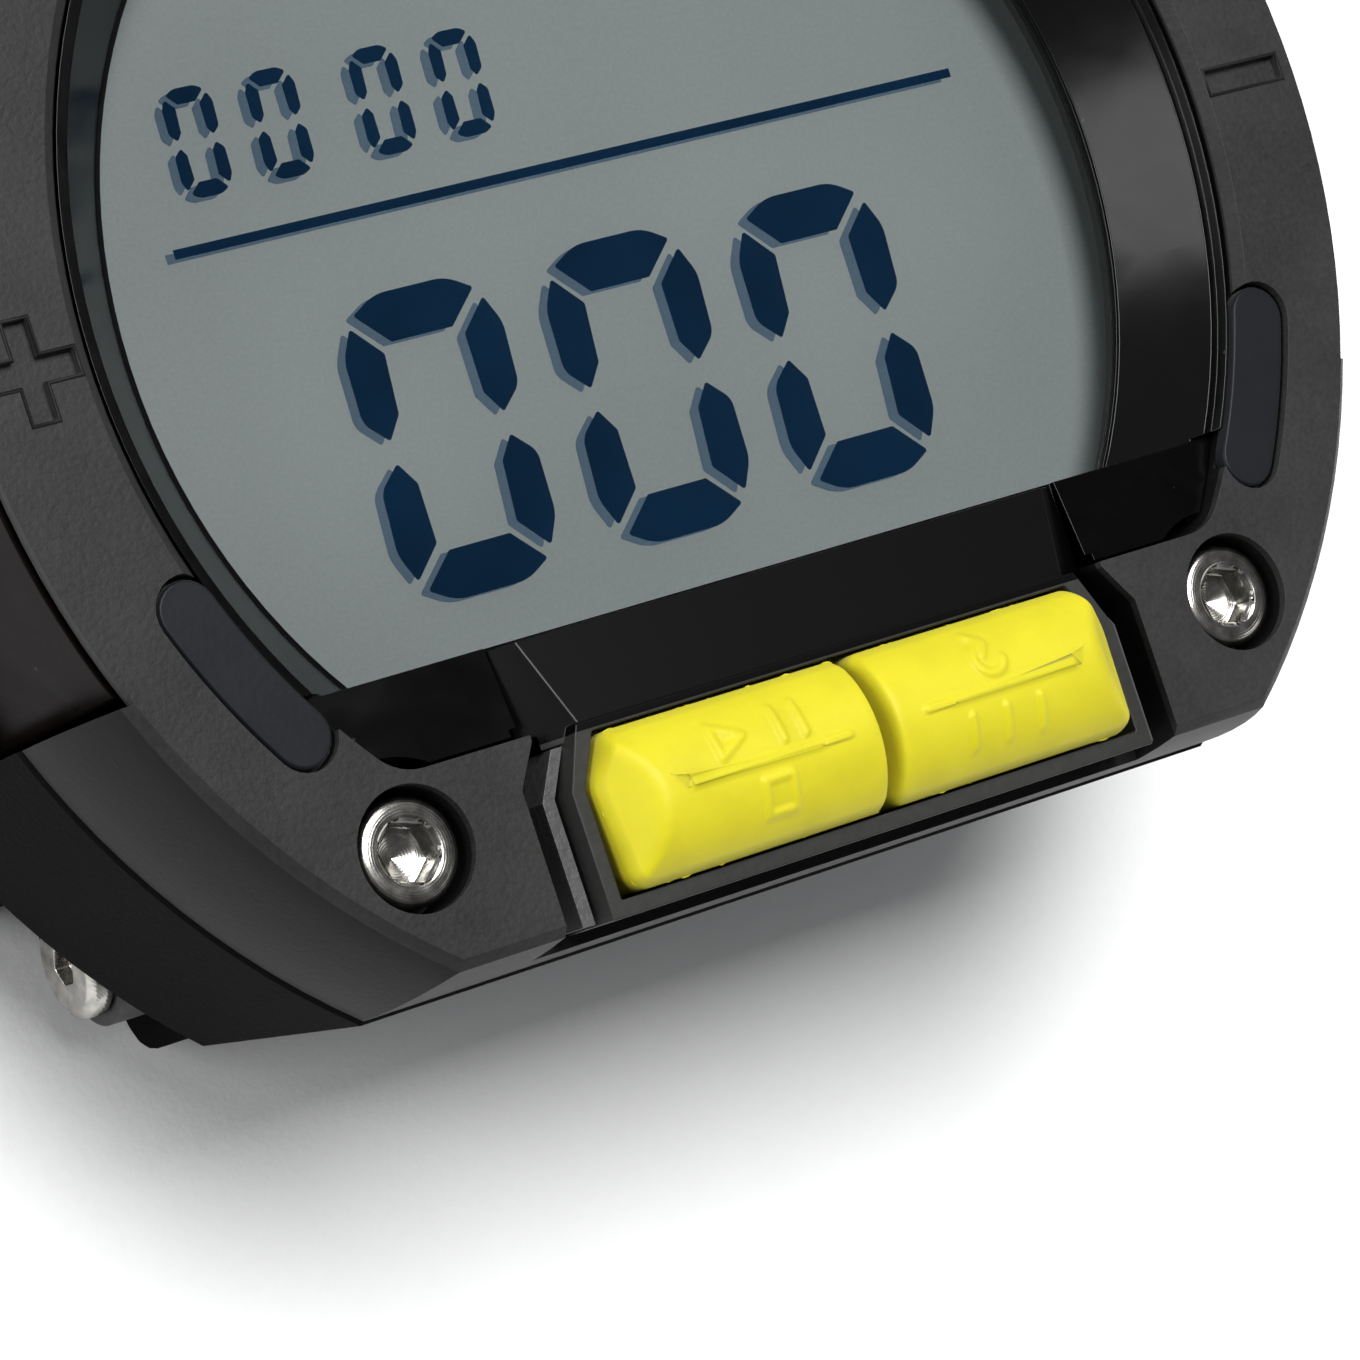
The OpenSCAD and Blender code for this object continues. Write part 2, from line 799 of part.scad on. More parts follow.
module shell_body() {
    flat_round(
        [[0, cover_top], [rear_r - 0.3, cover_top], [rear_r, cover_top + 0.3],
            [seam_r + shell_lip, seam_z - 0.2], [seam_r + shell_lip - 0.15, seam_z], [0, seam_z]],
        [[big, cover_top], [-rear_cut, cover_top], [-seam_cut - shell_lip, seam_z - 0.2],
            [-seam_cut - shell_lip + 0.15, seam_z], [big, seam_z]]
    );
}

module tripod_axis() {
    translate([0, -tripod_y, tripod_z]) rotate([-90, 0, 0]) children();
}

module rear_shell() {
    block_half = tripod_out_r + 1.8;
    block_y1 = -tripod_y + tripod_depth + tripod_end_t;
    block_top = tripod_z + tripod_out_r + 0.5;
    color("#3a3b3d") centred() difference() {
        union() {
            difference() {
                shell_body();
                flat_disc(shell_in_r, shell_in_cut, shell_floor_z, big);
            }
            intersection() {
                flat_disc(seam_r - 0.5, rear_cut - 0.3, cover_top, seam_z);
                union() {
                    face_screw_places() post(boss_r, cover_top, seam_z);
                    for (p = board_screw_at) translate(p) post(2.1, cover_top, main_low);
                    for (p = cover_screw_at) translate(p) post(2.3, cover_top, cover_top + 5);
                    bar(-block_half, block_half, -big, block_y1, cover_top, seam_z);
                    translate([0, -cell_y, 0]) post(cup_r + 1.2, cover_top, roof_z + roof_t);
                }
            }
            // Top of the block around the tripod thread, and the key board's posts on it
            bar(-block_half, block_half, -bezel_in_cut + 0.2, block_y1, seam_z - eps, block_top);
            for (x = [-key_board_screw_x, key_board_screw_x])
                translate([x, key_board_screw_y, 0]) post(1.5, block_top - eps, key_board_low);
        }
        // Battery cup, with slots for the contact tabs
        translate([0, -cell_y, 0]) post(cup_r, 0, roof_z);
        minus_tab(0.15);
        plus_tab(0.15);
        // Tripod insert
        tripod_axis() {
            cylinder(r = tripod_out_r, h = tripod_depth + tripod_end_t + 1);
            translate([0, 0, -3]) cylinder(d = tripod_d + 0.4, h = 4);
        }
        side_window();
        // Screw holes
        face_screw_places() {
            post(insert_r, insert_z, big);
            post(shaft_d / 2 + 0.15, screw_tip - 0.5, big);
        }
        for (p = board_screw_at) translate(p) post(board_screw_d / 2, main_low - 3, big);
        for (p = cover_screw_at) translate(p) post(shaft_d / 2, 0, cover_top + 4);
        for (x = [-key_board_screw_x, key_board_screw_x])
            translate([x, key_board_screw_y, 0]) post(0.8, key_board_low - 2.8, big);
        // Opening for the link between the boards
        bar(-link_half - 0.3, link_half + 0.3, link_y - link_w / 2 - 0.3, link_y + link_w / 2 + 0.3, 0, big);
    }
}

module screw_inserts() {
    color("#b89a52") centred() face_screw_places() difference() {
        post(insert_r, insert_z, insert_z + insert_l);
        post(shaft_d / 2, 0, big);
    }
}

module tripod_insert() {
    color("#b89a52") centred() tripod_axis() difference() {
        cylinder(r = tripod_out_r, h = tripod_depth + tripod_end_t);
        translate([0, 0, -1]) cylinder(d = tripod_d, h = tripod_depth + 1);
    }
}

/* ---- Battery ---- */

module cup_axis() {
    translate([0, -cell_y, 0]) children();
}

module battery() {
    color("#bfc1c2") centred() cup_axis() {
        post(cell_d / 2, cell_z, cell_z + cell_t - 0.5);
        post(cell_d / 2 - 1.6, cell_z + cell_t - 0.5 - eps, cell_z + cell_t);
    }
}

module minus_tab(grow) {
    translate([-4, -cell_y + 2, 0])
        bar(-1.2 - grow, 1.2 + grow, -0.2 - grow, 0.2 + grow, roof_z - 0.3, main_low);
}

module plus_tab(grow) {
    x = cell_d / 2;
    translate([0, -cell_y, 0]) bar(x - grow, x + 0.3 + grow, -1.5 - grow, 1.5 + grow, cell_z + 0.6, main_low);
}

module battery_minus() {
    color("#c8b070") centred() {
        cup_axis() {
            post(5.5, roof_z - 0.3, roof_z);
            post(2.5, cell_z + cell_t, roof_z - 0.3 + eps);
        }
        minus_tab(0);
    }
}

module battery_plus() {
    color("#c8b070") centred() plus_tab(0);
}

module door_lugs(grow_r, grow_a, z0, z1) {
    for (a = [30, 150, 270])
        ring_sector(door_r - 1, door_r + lug_reach + grow_r, z0, z1, a, 9 + grow_a);
}

module battery_door() {
    slot_w = 1.7;
    slot_l = 15;
    color("#232324") centred() cup_axis() difference() {
        union() {
            post(door_r, door_z, door_z + door_t);
            door_lugs(0, 0, door_z + 0.7, door_z + door_t);
            post(door_r - 2.4, door_z + door_t - eps, cell_z - fit);
        }
        // Coin slot and grip ring
        bar(-slot_l / 2, slot_l / 2, -slot_w / 2, slot_w / 2, 0, door_z + 1);
        ring(door_r - 1.6, door_r - 1.2, 0, door_z + 0.25);
    }
}

module door_seal() {
    color("#3c3c3c") centred() cup_axis() ring(door_r - 1.6, door_r - 0.6, door_z + door_t, cell_z - fit);
}

/* ---- Rear cover ---- */

module cover_body() {
    steps = 5;
    rounding = [for (i = [0 : steps])
        [cover_round * (1 - sin(90 * i / steps)), cover_round * (1 - cos(90 * i / steps))]];
    flat_round(
        concat([[0, 0]], [for (p = rounding) [cover_r - p[0], p[1]]],
            [[cover_r, cover_top], [0, cover_top]]),
        concat([[big, 0]], [for (p = rounding) [-cover_cut + p[0], p[1]]],
            [[-cover_cut, cover_top], [big, cover_top]])
    );
}

// The stand's arms and round end, from z0 to z1, wider by grow
module stand_band(grow, z0, z1) {
    mid = stand_r - stand_w / 2;
    bend_y = sqrt(pow(mid, 2) - pow(ear_in + stand_w / 2, 2));
    both_sides() bar(ear_in - grow, ear_out + grow, -pivot_y, bend_y + 0.4, z0, z1);
    intersection() {
        ring(stand_r - stand_w - grow, stand_r + grow, z0, z1);
        bar(-ear_out - grow, ear_out + grow, bend_y - 1.2 - grow, big, 0, big);
    }
}

module ear_pocket() {
    gap = stand_gap;
    both_sides() {
        bar(ear_in - gap, big, -big, -pivot_y + eye_r + gap, -1, big);
    }
}

module pivot_places() {
    both_sides() translate([ear_in, -pivot_y, pivot_z]) rotate([0, 90, 0]) children();
}

module rear_cover() {
    wall = 1.9;
    boss_half = 2.4;
    color("#171718") centred() difference() {
        union() {
            difference() {
                cover_body();
                flat_disc(cover_r - wall, cover_cut - wall, cover_floor_z, big);
            }
            cup_axis() post(cup_r + 1.2, 0.5, cover_top);
            intersection() {
                flat_disc(cover_r - 1, cover_cut - 1, 1, cover_top);
                union() {
                    // Bosses behind the stand's pivots
                    both_sides() bar(ear_in - pivot_len - 1, ear_in, -pivot_y - boss_half,
                        -pivot_y + eye_r + 1.6, 1, cover_top);
                    both_sides() bar(ear_in - stand_gap - 1.5, ear_in + 4, -pivot_y + eye_r,
                        -pivot_y + eye_r + 1.6, 1, cover_top);
                    for (p = cover_screw_at) translate(p) post(2.3, 1, cover_top);
                    // Posts under the radar board
                    both_sides() for (y = [radar_y - radar_h / 2 + 0.7, link_y])
                        translate([radar_w / 2 - 0.8, y, 0]) post(0.7, 1, radar_z);
                }
            }
        }
        // Battery opening, bayonet groove and its three entries
        cup_axis() {
            post(cup_r, door_z + door_t, big);
            post(door_r + 0.2, -1, cell_z - 0.05);
            post(door_r + lug_reach + 0.2, door_z + 0.6, door_z + door_t + 0.1);
            rotate([0, 0, -door_turn]) door_lugs(0.3, 2, -1, door_z + door_t);
        }
        plus_tab(0.15);
        // Radar window with the radome's seat
        bar(-radome_half - fit, radome_half + fit, radome_y0 - fit, radome_y1 + fit, -1, big);
        bar(-radome_half - radome_lip - fit, radome_half + radome_lip + fit, radome_y0 - radome_lip - fit,
            radome_y1 + radome_lip + fit, 1.2, radar_z - 0.2);
        // Groove for the folded stand, its ears and a finger scoop
        stand_band(stand_gap, -1, stand_z + stand_t + stand_gap);
        ear_pocket();
        bar(-5, 5, stand_r - stand_w - 0.2, big, -1, 1.7);
        // Pivot and cover screw holes
        pivot_places() translate([0, 0, -pivot_len]) cylinder(d = pivot_d, h = pivot_len + 1);
        for (p = cover_screw_at) translate(p) {
            post(cover_head_d / 2 + 0.2, -1, 1.8);
            post(shaft_d / 2 + 0.15, 0, big);
        }
    }
}

module cover_screws() {
    color("#b8b8b4") centred() for (p = cover_screw_at) translate(p) difference() {
        union() {
            translate([0, 0, 0.5]) cylinder(d1 = cover_head_d - 0.6, d2 = cover_head_d, h = 0.4);
            post(cover_head_d / 2, 0.9, 1.8);
            post(shaft_d / 2, 1.8 - eps, cover_top + 3.6);
        }
        bar(-1.2, 1.2, -0.25, 0.25, 0, 1.3);
        bar(-0.25, 0.25, -1.2, 1.2, 0, 1.3);
    }
}

/* ---- Tilt stand ---- */

module tilt_stand() {
    color("#1b1b1c") centred() difference() {
        union() {
            stand_band(0, stand_z, stand_z + stand_t);
            pivot_places() cylinder(r = eye_r, h = stand_w);
        }
        pivot_places() translate([0, 0, -1]) cylinder(d = pivot_d + 2 * fit, h = stand_w + 2);
        // Finger pull at the free end
        bar(-4, 4, stand_r - 0.7, big, 0, stand_z + 0.8);
    }
}

module stand_screws() {
    socket_af = 1.3;
    gap = 0.08;
    color("#c9c9c6") centred() pivot_places() difference() {
        union() {
            translate([0, 0, -pivot_len + 0.5]) cylinder(d = pivot_d, h = pivot_len + stand_w + gap);
            translate([0, 0, stand_w + gap]) cylinder(d = pivot_head_d, h = pivot_head_t - 0.25);
            translate([0, 0, stand_w + gap + pivot_head_t - 0.25])
                cylinder(d1 = pivot_head_d, d2 = pivot_head_d - 0.7, h = 0.25);
        }
        translate([0, 0, stand_w + gap + 0.3]) cylinder(d = socket_af / cos(30), h = 2, $fn = 6);
    }
}

module stand_washers() {
    color("#d8d4c8") centred() pivot_places() translate([0, 0, -stand_gap]) difference() {
        cylinder(r = eye_r - 0.2, h = stand_gap - 0.03);
        translate([0, 0, -1]) cylinder(d = pivot_d, h = 2);
    }
}

front_bezel();
inlay_left();
inlay_right();
bezel_screws();
display_surround();
window_lens();
lens_seal();
lcd_glass();
lcd_reflector();
lcd_holder();
zebra_strips();
button_panel();
panel_frame();
start_key();
reset_key();
key_board();
key_domes();
key_board_screws();
plus_key();
minus_key();
side_switches();
main_board();
board_chips();
buzzer();
board_screws();
board_link();
radar_board();
patch_antennas();
radar_can();
radome();
rear_shell();
screw_inserts();
tripod_insert();
rear_cover();
cover_screws();
battery();
battery_plus();
battery_minus();
battery_door();
door_seal();
tilt_stand();
stand_screws();
stand_washers();
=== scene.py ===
"""Pocket speed radar: finishes, display, silicone keys, screws, floor, light and camera.

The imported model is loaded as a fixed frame. Its parts keep their places, and
the parts that need finer shapes are stood in for by pieces built here, in the
same frame and in metres.
"""

from __future__ import annotations

import logging
import math
from dataclasses import dataclass, field
from enum import Enum
from typing import Any, Iterable, Sequence

import bmesh
import bpy
from mathutils import Matrix, Vector, noise

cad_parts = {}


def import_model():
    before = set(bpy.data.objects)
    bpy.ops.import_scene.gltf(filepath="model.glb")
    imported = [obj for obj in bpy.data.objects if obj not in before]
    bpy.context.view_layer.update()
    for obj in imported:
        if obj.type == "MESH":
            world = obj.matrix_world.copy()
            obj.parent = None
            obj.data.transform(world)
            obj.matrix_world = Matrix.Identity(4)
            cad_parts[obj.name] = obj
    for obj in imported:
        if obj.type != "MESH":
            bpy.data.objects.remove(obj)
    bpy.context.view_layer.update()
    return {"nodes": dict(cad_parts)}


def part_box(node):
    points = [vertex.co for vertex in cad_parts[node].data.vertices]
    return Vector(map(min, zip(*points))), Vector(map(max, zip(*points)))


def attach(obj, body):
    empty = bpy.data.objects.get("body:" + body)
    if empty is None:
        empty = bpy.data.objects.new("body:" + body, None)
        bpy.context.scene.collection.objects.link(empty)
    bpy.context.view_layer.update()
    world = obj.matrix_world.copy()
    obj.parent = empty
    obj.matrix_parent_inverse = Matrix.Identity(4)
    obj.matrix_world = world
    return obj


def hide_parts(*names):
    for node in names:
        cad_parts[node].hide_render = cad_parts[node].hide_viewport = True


log = logging.getLogger("speed_radar")

MM = 0.001
Point = tuple[float, float]
Loop = list[Vector]
MeshLists = tuple[list[Vector], list[list[int]]]


class Body(str, Enum):
    """The bodies that pieces ride on."""

    HOUSING = "housing"
    START = "start_key_body"
    RESET = "reset_key_body"
    DOOR = "door_body"
    STAND = "stand_body"


# ---------------------------------------------------------------- materials


def linear(hex_code: str) -> tuple[float, float, float, float]:
    """Turns an sRGB hex colour into a linear colour.

    Args:
        hex_code: Six hex digits, with or without a leading hash.

    Returns:
        Linear red, green, blue and an alpha of one.
    """
    digits = hex_code.lstrip("#")
    channels = [int(digits[i : i + 2], 16) / 255 for i in (0, 2, 4)]
    straight = [c / 12.92 if c <= 0.04045 else ((c + 0.055) / 1.055) ** 2.4 for c in channels]
    return (straight[0], straight[1], straight[2], 1.0)


def add_node(
    tree: bpy.types.NodeTree,
    kind: str,
    settings: dict[str | int, Any] | None = None,
    links: dict[str | int, bpy.types.NodeSocket] | None = None,
) -> bpy.types.Node:
    """Adds one node with its settings and incoming links.

    Args:
        tree: The node tree to add to.
        kind: The node's type name.
        settings: Values by input name or number, or by property name.
        links: Sockets to join, by input name or number.

    Returns:
        The new node.
    """
    node = tree.nodes.new(kind)
    for name, value in (settings or {}).items():
        if isinstance(name, int) or name in node.inputs:
            node.inputs[name].default_value = value
        else:
            setattr(node, name, value)
    for name, socket in (links or {}).items():
        tree.links.new(socket, node.inputs[name])
    return node


@dataclass(frozen=True)
class Finish:
    """A surface finish: what it is made of and how its surface was made."""

    title: str
    colour: str
    roughness: float
    metallic: float = 0.0
    specular: float = 0.5
    coat: float = 0.0
    alpha: float = 1.0

    def material(self) -> bpy.types.Material:
        """Makes the finish's material on first use.

        Returns:
            The material, the same one each time.
        """
        known = bpy.data.materials.get(self.title)
        if known:
            return known
        made = bpy.data.materials.new(self.title)
        made.use_nodes = True
        tree = made.node_tree
        shader = tree.nodes["Principled BSDF"]
        shader.inputs["Base Color"].default_value = linear(self.colour)
        shader.inputs["Roughness"].default_value = self.roughness
        shader.inputs["Metallic"].default_value = self.metallic
        shader.inputs["Specular IOR Level"].default_value = self.specular
        shader.inputs["Coat Weight"].default_value = self.coat
        shader.inputs["Coat Roughness"].default_value = 0.06
        shader.inputs["Alpha"].default_value = self.alpha
        place = add_node(tree, "ShaderNodeTexCoord").outputs["Object"]
        self.dress(tree, shader, place)
        return made

    def dress(
        self, tree: bpy.types.NodeTree, shader: bpy.types.Node, place: bpy.types.NodeSocket
    ) -> None:
        """Adds the finish's own pattern; a plain finish has none.

        Args:
            tree: The material's nodes.
            shader: The shader to dress.
            place: Where on the object the surface is.
        """

    def tint(
        self,
        tree: bpy.types.NodeTree,
        shader: bpy.types.Node,
        factor: bpy.types.NodeSocket,
        low: str,
        high: str,
        span: Point = (0.3, 0.7),
    ) -> None:
        """Colours the surface between two tones.

        Args:
            tree: The material's nodes.
            shader: The shader whose colour is set.
            factor: The pattern that chooses between the tones.
            low: Tone where the pattern is low.
            high: Tone where the pattern is high.
            span: Pattern values where the two tones are reached.
        """
        ramp = add_node(tree, "ShaderNodeValToRGB", links={"Fac": factor})
        for stop, position, tone in zip(ramp.color_ramp.elements, span, (low, high)):
            stop.position = position
            stop.color = linear(tone)
        tree.links.new(ramp.outputs["Color"], shader.inputs["Base Color"])

    def spread(
        self,
        tree: bpy.types.NodeTree,
        shader: bpy.types.Node,
        factor: bpy.types.NodeSocket,
        low: float,
        high: float,
    ) -> None:
        """Varies the roughness between two values with a pattern.

        Args:
            tree: The material's nodes.
            shader: The shader whose roughness is set.
            factor: The pattern that chooses between the values.
            low: Roughness where the pattern is low.
            high: Roughness where the pattern is high.
        """
        span = add_node(
            tree, "ShaderNodeMapRange", {"To Min": low, "To Max": high}, {"Value": factor}
        )
        tree.links.new(span.outputs["Result"], shader.inputs["Roughness"])


@dataclass(frozen=True)
class GrainedPlastic(Finish):
    """Plastic moulded against a spark-eroded tool, which leaves a fine matt grain.

    Past a plane, given as an axis, a distance in metres and a side, the tone is its own:
    a smoother tool on the key panel, and a darker tone painted as shade on the bezel's flank.
    """

    grain_mm: float = 0.22
    relief_mm: float = 0.028
    light: str = "#343434"
    dark: str = "#212121"
    # Past the plane: a polished tone and gloss by default; the bezel sets a darker tone there as
    # painted shade.
    shade_and_polish_past: tuple[str, float, float] | None = None
    polished: str = "#030303"
    polished_roughness: float = 0.28
    polished_relief: float = 0.04

    def dress(
        self, tree: bpy.types.NodeTree, shader: bpy.types.Node, place: bpy.types.NodeSocket
    ) -> None:
        """Grain in the relief and gloss, and slow tone changes from handling.

        Args:
            tree: The material's nodes.
            shader: The shader to dress.
            place: Where on the object the surface is.
        """
        grain = add_node(
            tree,
            "ShaderNodeTexNoise",
            {"Scale": 1 / (self.grain_mm * MM), "Detail": 3.0, "Roughness": 0.6},
            {"Vector": place},
        )
        cloud = add_node(
            tree,
            "ShaderNodeTexNoise",
            {"Scale": 1 / (9 * MM), "Detail": 3.0, "Roughness": 0.7},
            {"Vector": place},
        )
        both = add_node(
            tree,
            "ShaderNodeMix",
            {"Factor": 0.35},
            {2: cloud.outputs["Fac"], 3: grain.outputs["Fac"]},
        )
        self.tint(tree, shader, both.outputs[0], self.dark, self.light)
        self.spread(tree, shader, grain.outputs["Fac"], self.roughness - 0.1, self.roughness + 0.1)
        relief = add_node(
            tree,
            "ShaderNodeBump",
            {"Strength": 1.0, "Distance": self.relief_mm * MM},
            {"Height": grain.outputs["Fac"]},
        )
        tree.links.new(relief.outputs["Normal"], shader.inputs["Normal"])
        if self.shade_and_polish_past is not None:
            self.shade_and_polish(tree, shader, place, relief)

    def shade_and_polish(
        self,
        tree: bpy.types.NodeTree,
        shader: bpy.types.Node,
        place: bpy.types.NodeSocket,
        relief: bpy.types.Node,
    ) -> None:
        """Changes tone, gloss and grain past a plane: a smoother tool on the key panel, painted
        shade on the bezel's flank.

        Args:
            tree: The material's nodes.
            shader: The shader to change.
            place: Where on the object the surface is.
            relief: The grain's bump node.
        """
        axis, limit, side = self.shade_and_polish_past
        axes = add_node(tree, "ShaderNodeSeparateXYZ", links={"Vector": place})
        here = add_node(
            tree,
            "ShaderNodeMath",
            {"operation": "GREATER_THAN" if side > 0 else "LESS_THAN", 1: limit},
            {0: axes.outputs[axis]},
        ).outputs["Value"]
        # The darker tone set here is painted shade on the bezel's flank, and the polished tool's
        # own black on the key panel.
        for name, value, kind in (
            ("Base Color", linear(self.polished), "RGBA"),
            ("Roughness", self.polished_roughness, "FLOAT"),
        ):
            before = shader.inputs[name].links[0].from_socket
            mix = add_node(tree, "ShaderNodeMix", {"data_type": kind}, {"Factor": here})
            ins = [i for i in mix.inputs if i.enabled and i.name in ("A", "B")]
            outs = [o for o in mix.outputs if o.enabled]
            tree.links.new(before, ins[0])
            ins[1].default_value = value
            tree.links.new(outs[0], shader.inputs[name])
        fade = add_node(
            tree,
            "ShaderNodeMapRange",
            {"To Min": 1.0, "To Max": self.polished_relief},
            {"Value": here},
        )
        tree.links.new(fade.outputs["Result"], relief.inputs["Strength"])


@dataclass(frozen=True)
class PolishedPlastic(Finish):
    """Plastic from a polished tool: deep gloss, hairline scratches and a little dust."""

    dust: str = "#2c2c2c"

    def dress(
        self, tree: bpy.types.NodeTree, shader: bpy.types.Node, place: bpy.types.NodeSocket
    ) -> None:
        """Sparse dust specks 0.1 mm across, and a gloss that varies as when wiped.

        Args:
            tree: The material's nodes.
            shader: The shader to dress.
            place: Where on the object the surface is.
        """
        specks = add_node(
            tree, "ShaderNodeTexVoronoi", {"Scale": 1 / (1.6 * MM)}, {"Vector": place}
        )
        near = add_node(
            tree,
            "ShaderNodeMapRange",
            {"From Min": 0.03, "From Max": 0.06, "To Min": 1.0, "To Max": 0.0},
            {"Value": specks.outputs["Distance"]},
        )
        self.tint(tree, shader, near.outputs["Result"], self.colour, self.dust, (0.1, 0.9))
        wiped = add_node(
            tree,
            "ShaderNodeTexNoise",
            {"Scale": 1 / (3.5 * MM), "Detail": 4.0, "Distortion": 1.5},
            {"Vector": place},
        )
        self.spread(
            tree, shader, wiped.outputs["Fac"], self.roughness * 0.7, self.roughness * 1.5
        )


@dataclass(frozen=True)
class MouldedRubber(Finish):
    """Rubber or silicone from a blasted tool: soft sheen, faint pores, no sharp glints."""

    pore_mm: float = 0.16
    shade: str = "#1c1c1c"
    glow: float = 0.0

    def dress(
        self, tree: bpy.types.NodeTree, shader: bpy.types.Node, place: bpy.types.NodeSocket
    ) -> None:
        """Fine pores, a slight unevenness of tone and, for silicone, light under the skin.

        Args:
            tree: The material's nodes.
            shader: The shader to dress.
            place: Where on the object the surface is.
        """
        shader.inputs["Subsurface Weight"].default_value = self.glow
        shader.inputs["Subsurface Radius"].default_value = (0.9, 0.7, 0.15)
        shader.inputs["Subsurface Scale"].default_value = 0.8 * MM
        shader.inputs["Sheen Weight"].default_value = 0.08
        pores = add_node(
            tree,
            "ShaderNodeTexNoise",
            {"Scale": 1 / (self.pore_mm * MM), "Detail": 2.0},
            {"Vector": place},
        )
        patches = add_node(
            tree, "ShaderNodeTexNoise", {"Scale": 1 / (2.2 * MM), "Detail": 3.0}, {"Vector": place}
        )
        self.tint(tree, shader, patches.outputs["Fac"], self.shade, self.colour, (0.25, 0.55))
        relief = add_node(
            tree,
            "ShaderNodeBump",
            {"Strength": 0.5, "Distance": 0.012 * MM},
            {"Height": pores.outputs["Fac"]},
        )
        tree.links.new(relief.outputs["Normal"], shader.inputs["Normal"])


@dataclass(frozen=True)
class TurnedMetal(Finish):
    """Metal turned on a lathe: fine rings round the piece's own axis."""

    pitch_mm: float = 0.1
    shade: str = "#8f8d88"

    def dress(
        self, tree: bpy.types.NodeTree, shader: bpy.types.Node, place: bpy.types.NodeSocket
    ) -> None:
        """Tool rings in the relief, and handling marks in tone and gloss.

        Args:
            tree: The material's nodes.
            shader: The shader to dress.
            place: Where on the object the surface is.
        """
        rings = add_node(
            tree,
            "ShaderNodeTexWave",
            {
                "wave_type": "RINGS",
                "rings_direction": "Z",
                "Scale": 0.314 / (self.pitch_mm * MM),
                "Distortion": 0.6,
                "Detail": 1.0,
            },
            {"Vector": place},
        )
        marks = add_node(
            tree, "ShaderNodeTexNoise", {"Scale": 1 / (0.7 * MM), "Detail": 5.0}, {"Vector": place}
        )
        self.tint(tree, shader, marks.outputs["Fac"], self.shade, self.colour)
        self.spread(
            tree, shader, marks.outputs["Fac"], self.roughness * 0.7, self.roughness * 1.4
        )
        relief = add_node(
            tree,
            "ShaderNodeBump",
            {"Strength": 0.35, "Distance": 0.006 * MM},
            {"Height": rings.outputs["Fac"]},
        )
        tree.links.new(relief.outputs["Normal"], shader.inputs["Normal"])


@dataclass(frozen=True)
class RolledMetal(Finish):
    """Sheet or plated metal: long faint rolling lines and slight clouding."""

    shade: str = "#7c7b78"
    line_mm: float = 0.15

    def dress(
        self, tree: bpy.types.NodeTree, shader: bpy.types.Node, place: bpy.types.NodeSocket
    ) -> None:
        """Lines twenty times longer than they are wide, along X.

        Args:
            tree: The material's nodes.
            shader: The shader to dress.
            place: Where on the object the surface is.
        """
        stretched = add_node(
            tree, "ShaderNodeMapping", {"Scale": (0.05, 1.0, 1.0)}, {"Vector": place}
        )
        lines = add_node(
            tree,
            "ShaderNodeTexNoise",
            {"Scale": 1 / (self.line_mm * MM), "Detail": 3.0},
            {"Vector": stretched.outputs["Vector"]},
        )
        cloud = add_node(
            tree, "ShaderNodeTexNoise", {"Scale": 1 / (3 * MM), "Detail": 3.0}, {"Vector": place}
        )
        self.tint(tree, shader, cloud.outputs["Fac"], self.shade, self.colour)
        self.spread(
            tree, shader, lines.outputs["Fac"], self.roughness * 0.7, self.roughness * 1.4
        )


@dataclass(frozen=True)
class SolderMask(Finish):
    """Circuit board laminate under green lacquer, with the copper tracks showing through."""

    track: str = "#2f7a48"

    def dress(
        self, tree: bpy.types.NodeTree, shader: bpy.types.Node, place: bpy.types.NodeSocket
    ) -> None:
        """Tracks at 1.3 mm, drawn as squared cells, slightly raised.

        Args:
            tree: The material's nodes.
            shader: The shader to dress.
            place: Where on the object the surface is.
        """
        cells = add_node(
            tree,
            "ShaderNodeTexVoronoi",
            {"distance": "MANHATTAN", "feature": "F1", "Scale": 1 / (1.3 * MM)},
            {"Vector": place},
        )
        self.tint(tree, shader, cells.outputs["Distance"], self.track, self.colour, (0.42, 0.5))
        relief = add_node(
            tree,
            "ShaderNodeBump",
            {"Strength": 0.4, "Distance": 0.03 * MM, "invert": True},
            {"Height": cells.outputs["Distance"]},
        )
        tree.links.new(relief.outputs["Normal"], shader.inputs["Normal"])


@dataclass(frozen=True)
class DisplayFilm(Finish):
    """Reflective film behind a liquid crystal cell: matt silver-green with a fine sparkle."""

    shade: str = "#68706f"
    sparkle_mm: float = 0.14

    def dress(
        self, tree: bpy.types.NodeTree, shader: bpy.types.Node, place: bpy.types.NodeSocket
    ) -> None:
        """Sparkle grain of 0.14 mm over very slow clouding.

        Args:
            tree: The material's nodes.
            shader: The shader to dress.
            place: Where on the object the surface is.
        """
        sparkle = add_node(
            tree,
            "ShaderNodeTexNoise",
            {"Scale": 1 / (self.sparkle_mm * MM), "Detail": 1.0},
            {"Vector": place},
        )
        cloud = add_node(
            tree, "ShaderNodeTexNoise", {"Scale": 1 / (14 * MM), "Detail": 1.0}, {"Vector": place}
        )
        both = add_node(
            tree,
            "ShaderNodeMix",
            {"Factor": 0.45},
            {2: cloud.outputs["Fac"], 3: sparkle.outputs["Fac"]},
        )
        self.tint(tree, shader, both.outputs[0], self.shade, self.colour, (0.3, 0.7))
        relief = add_node(
            tree,
            "ShaderNodeBump",
            {"Strength": 0.4, "Distance": 0.01 * MM},
            {"Height": sparkle.outputs["Fac"]},
        )
        tree.links.new(relief.outputs["Normal"], shader.inputs["Normal"])


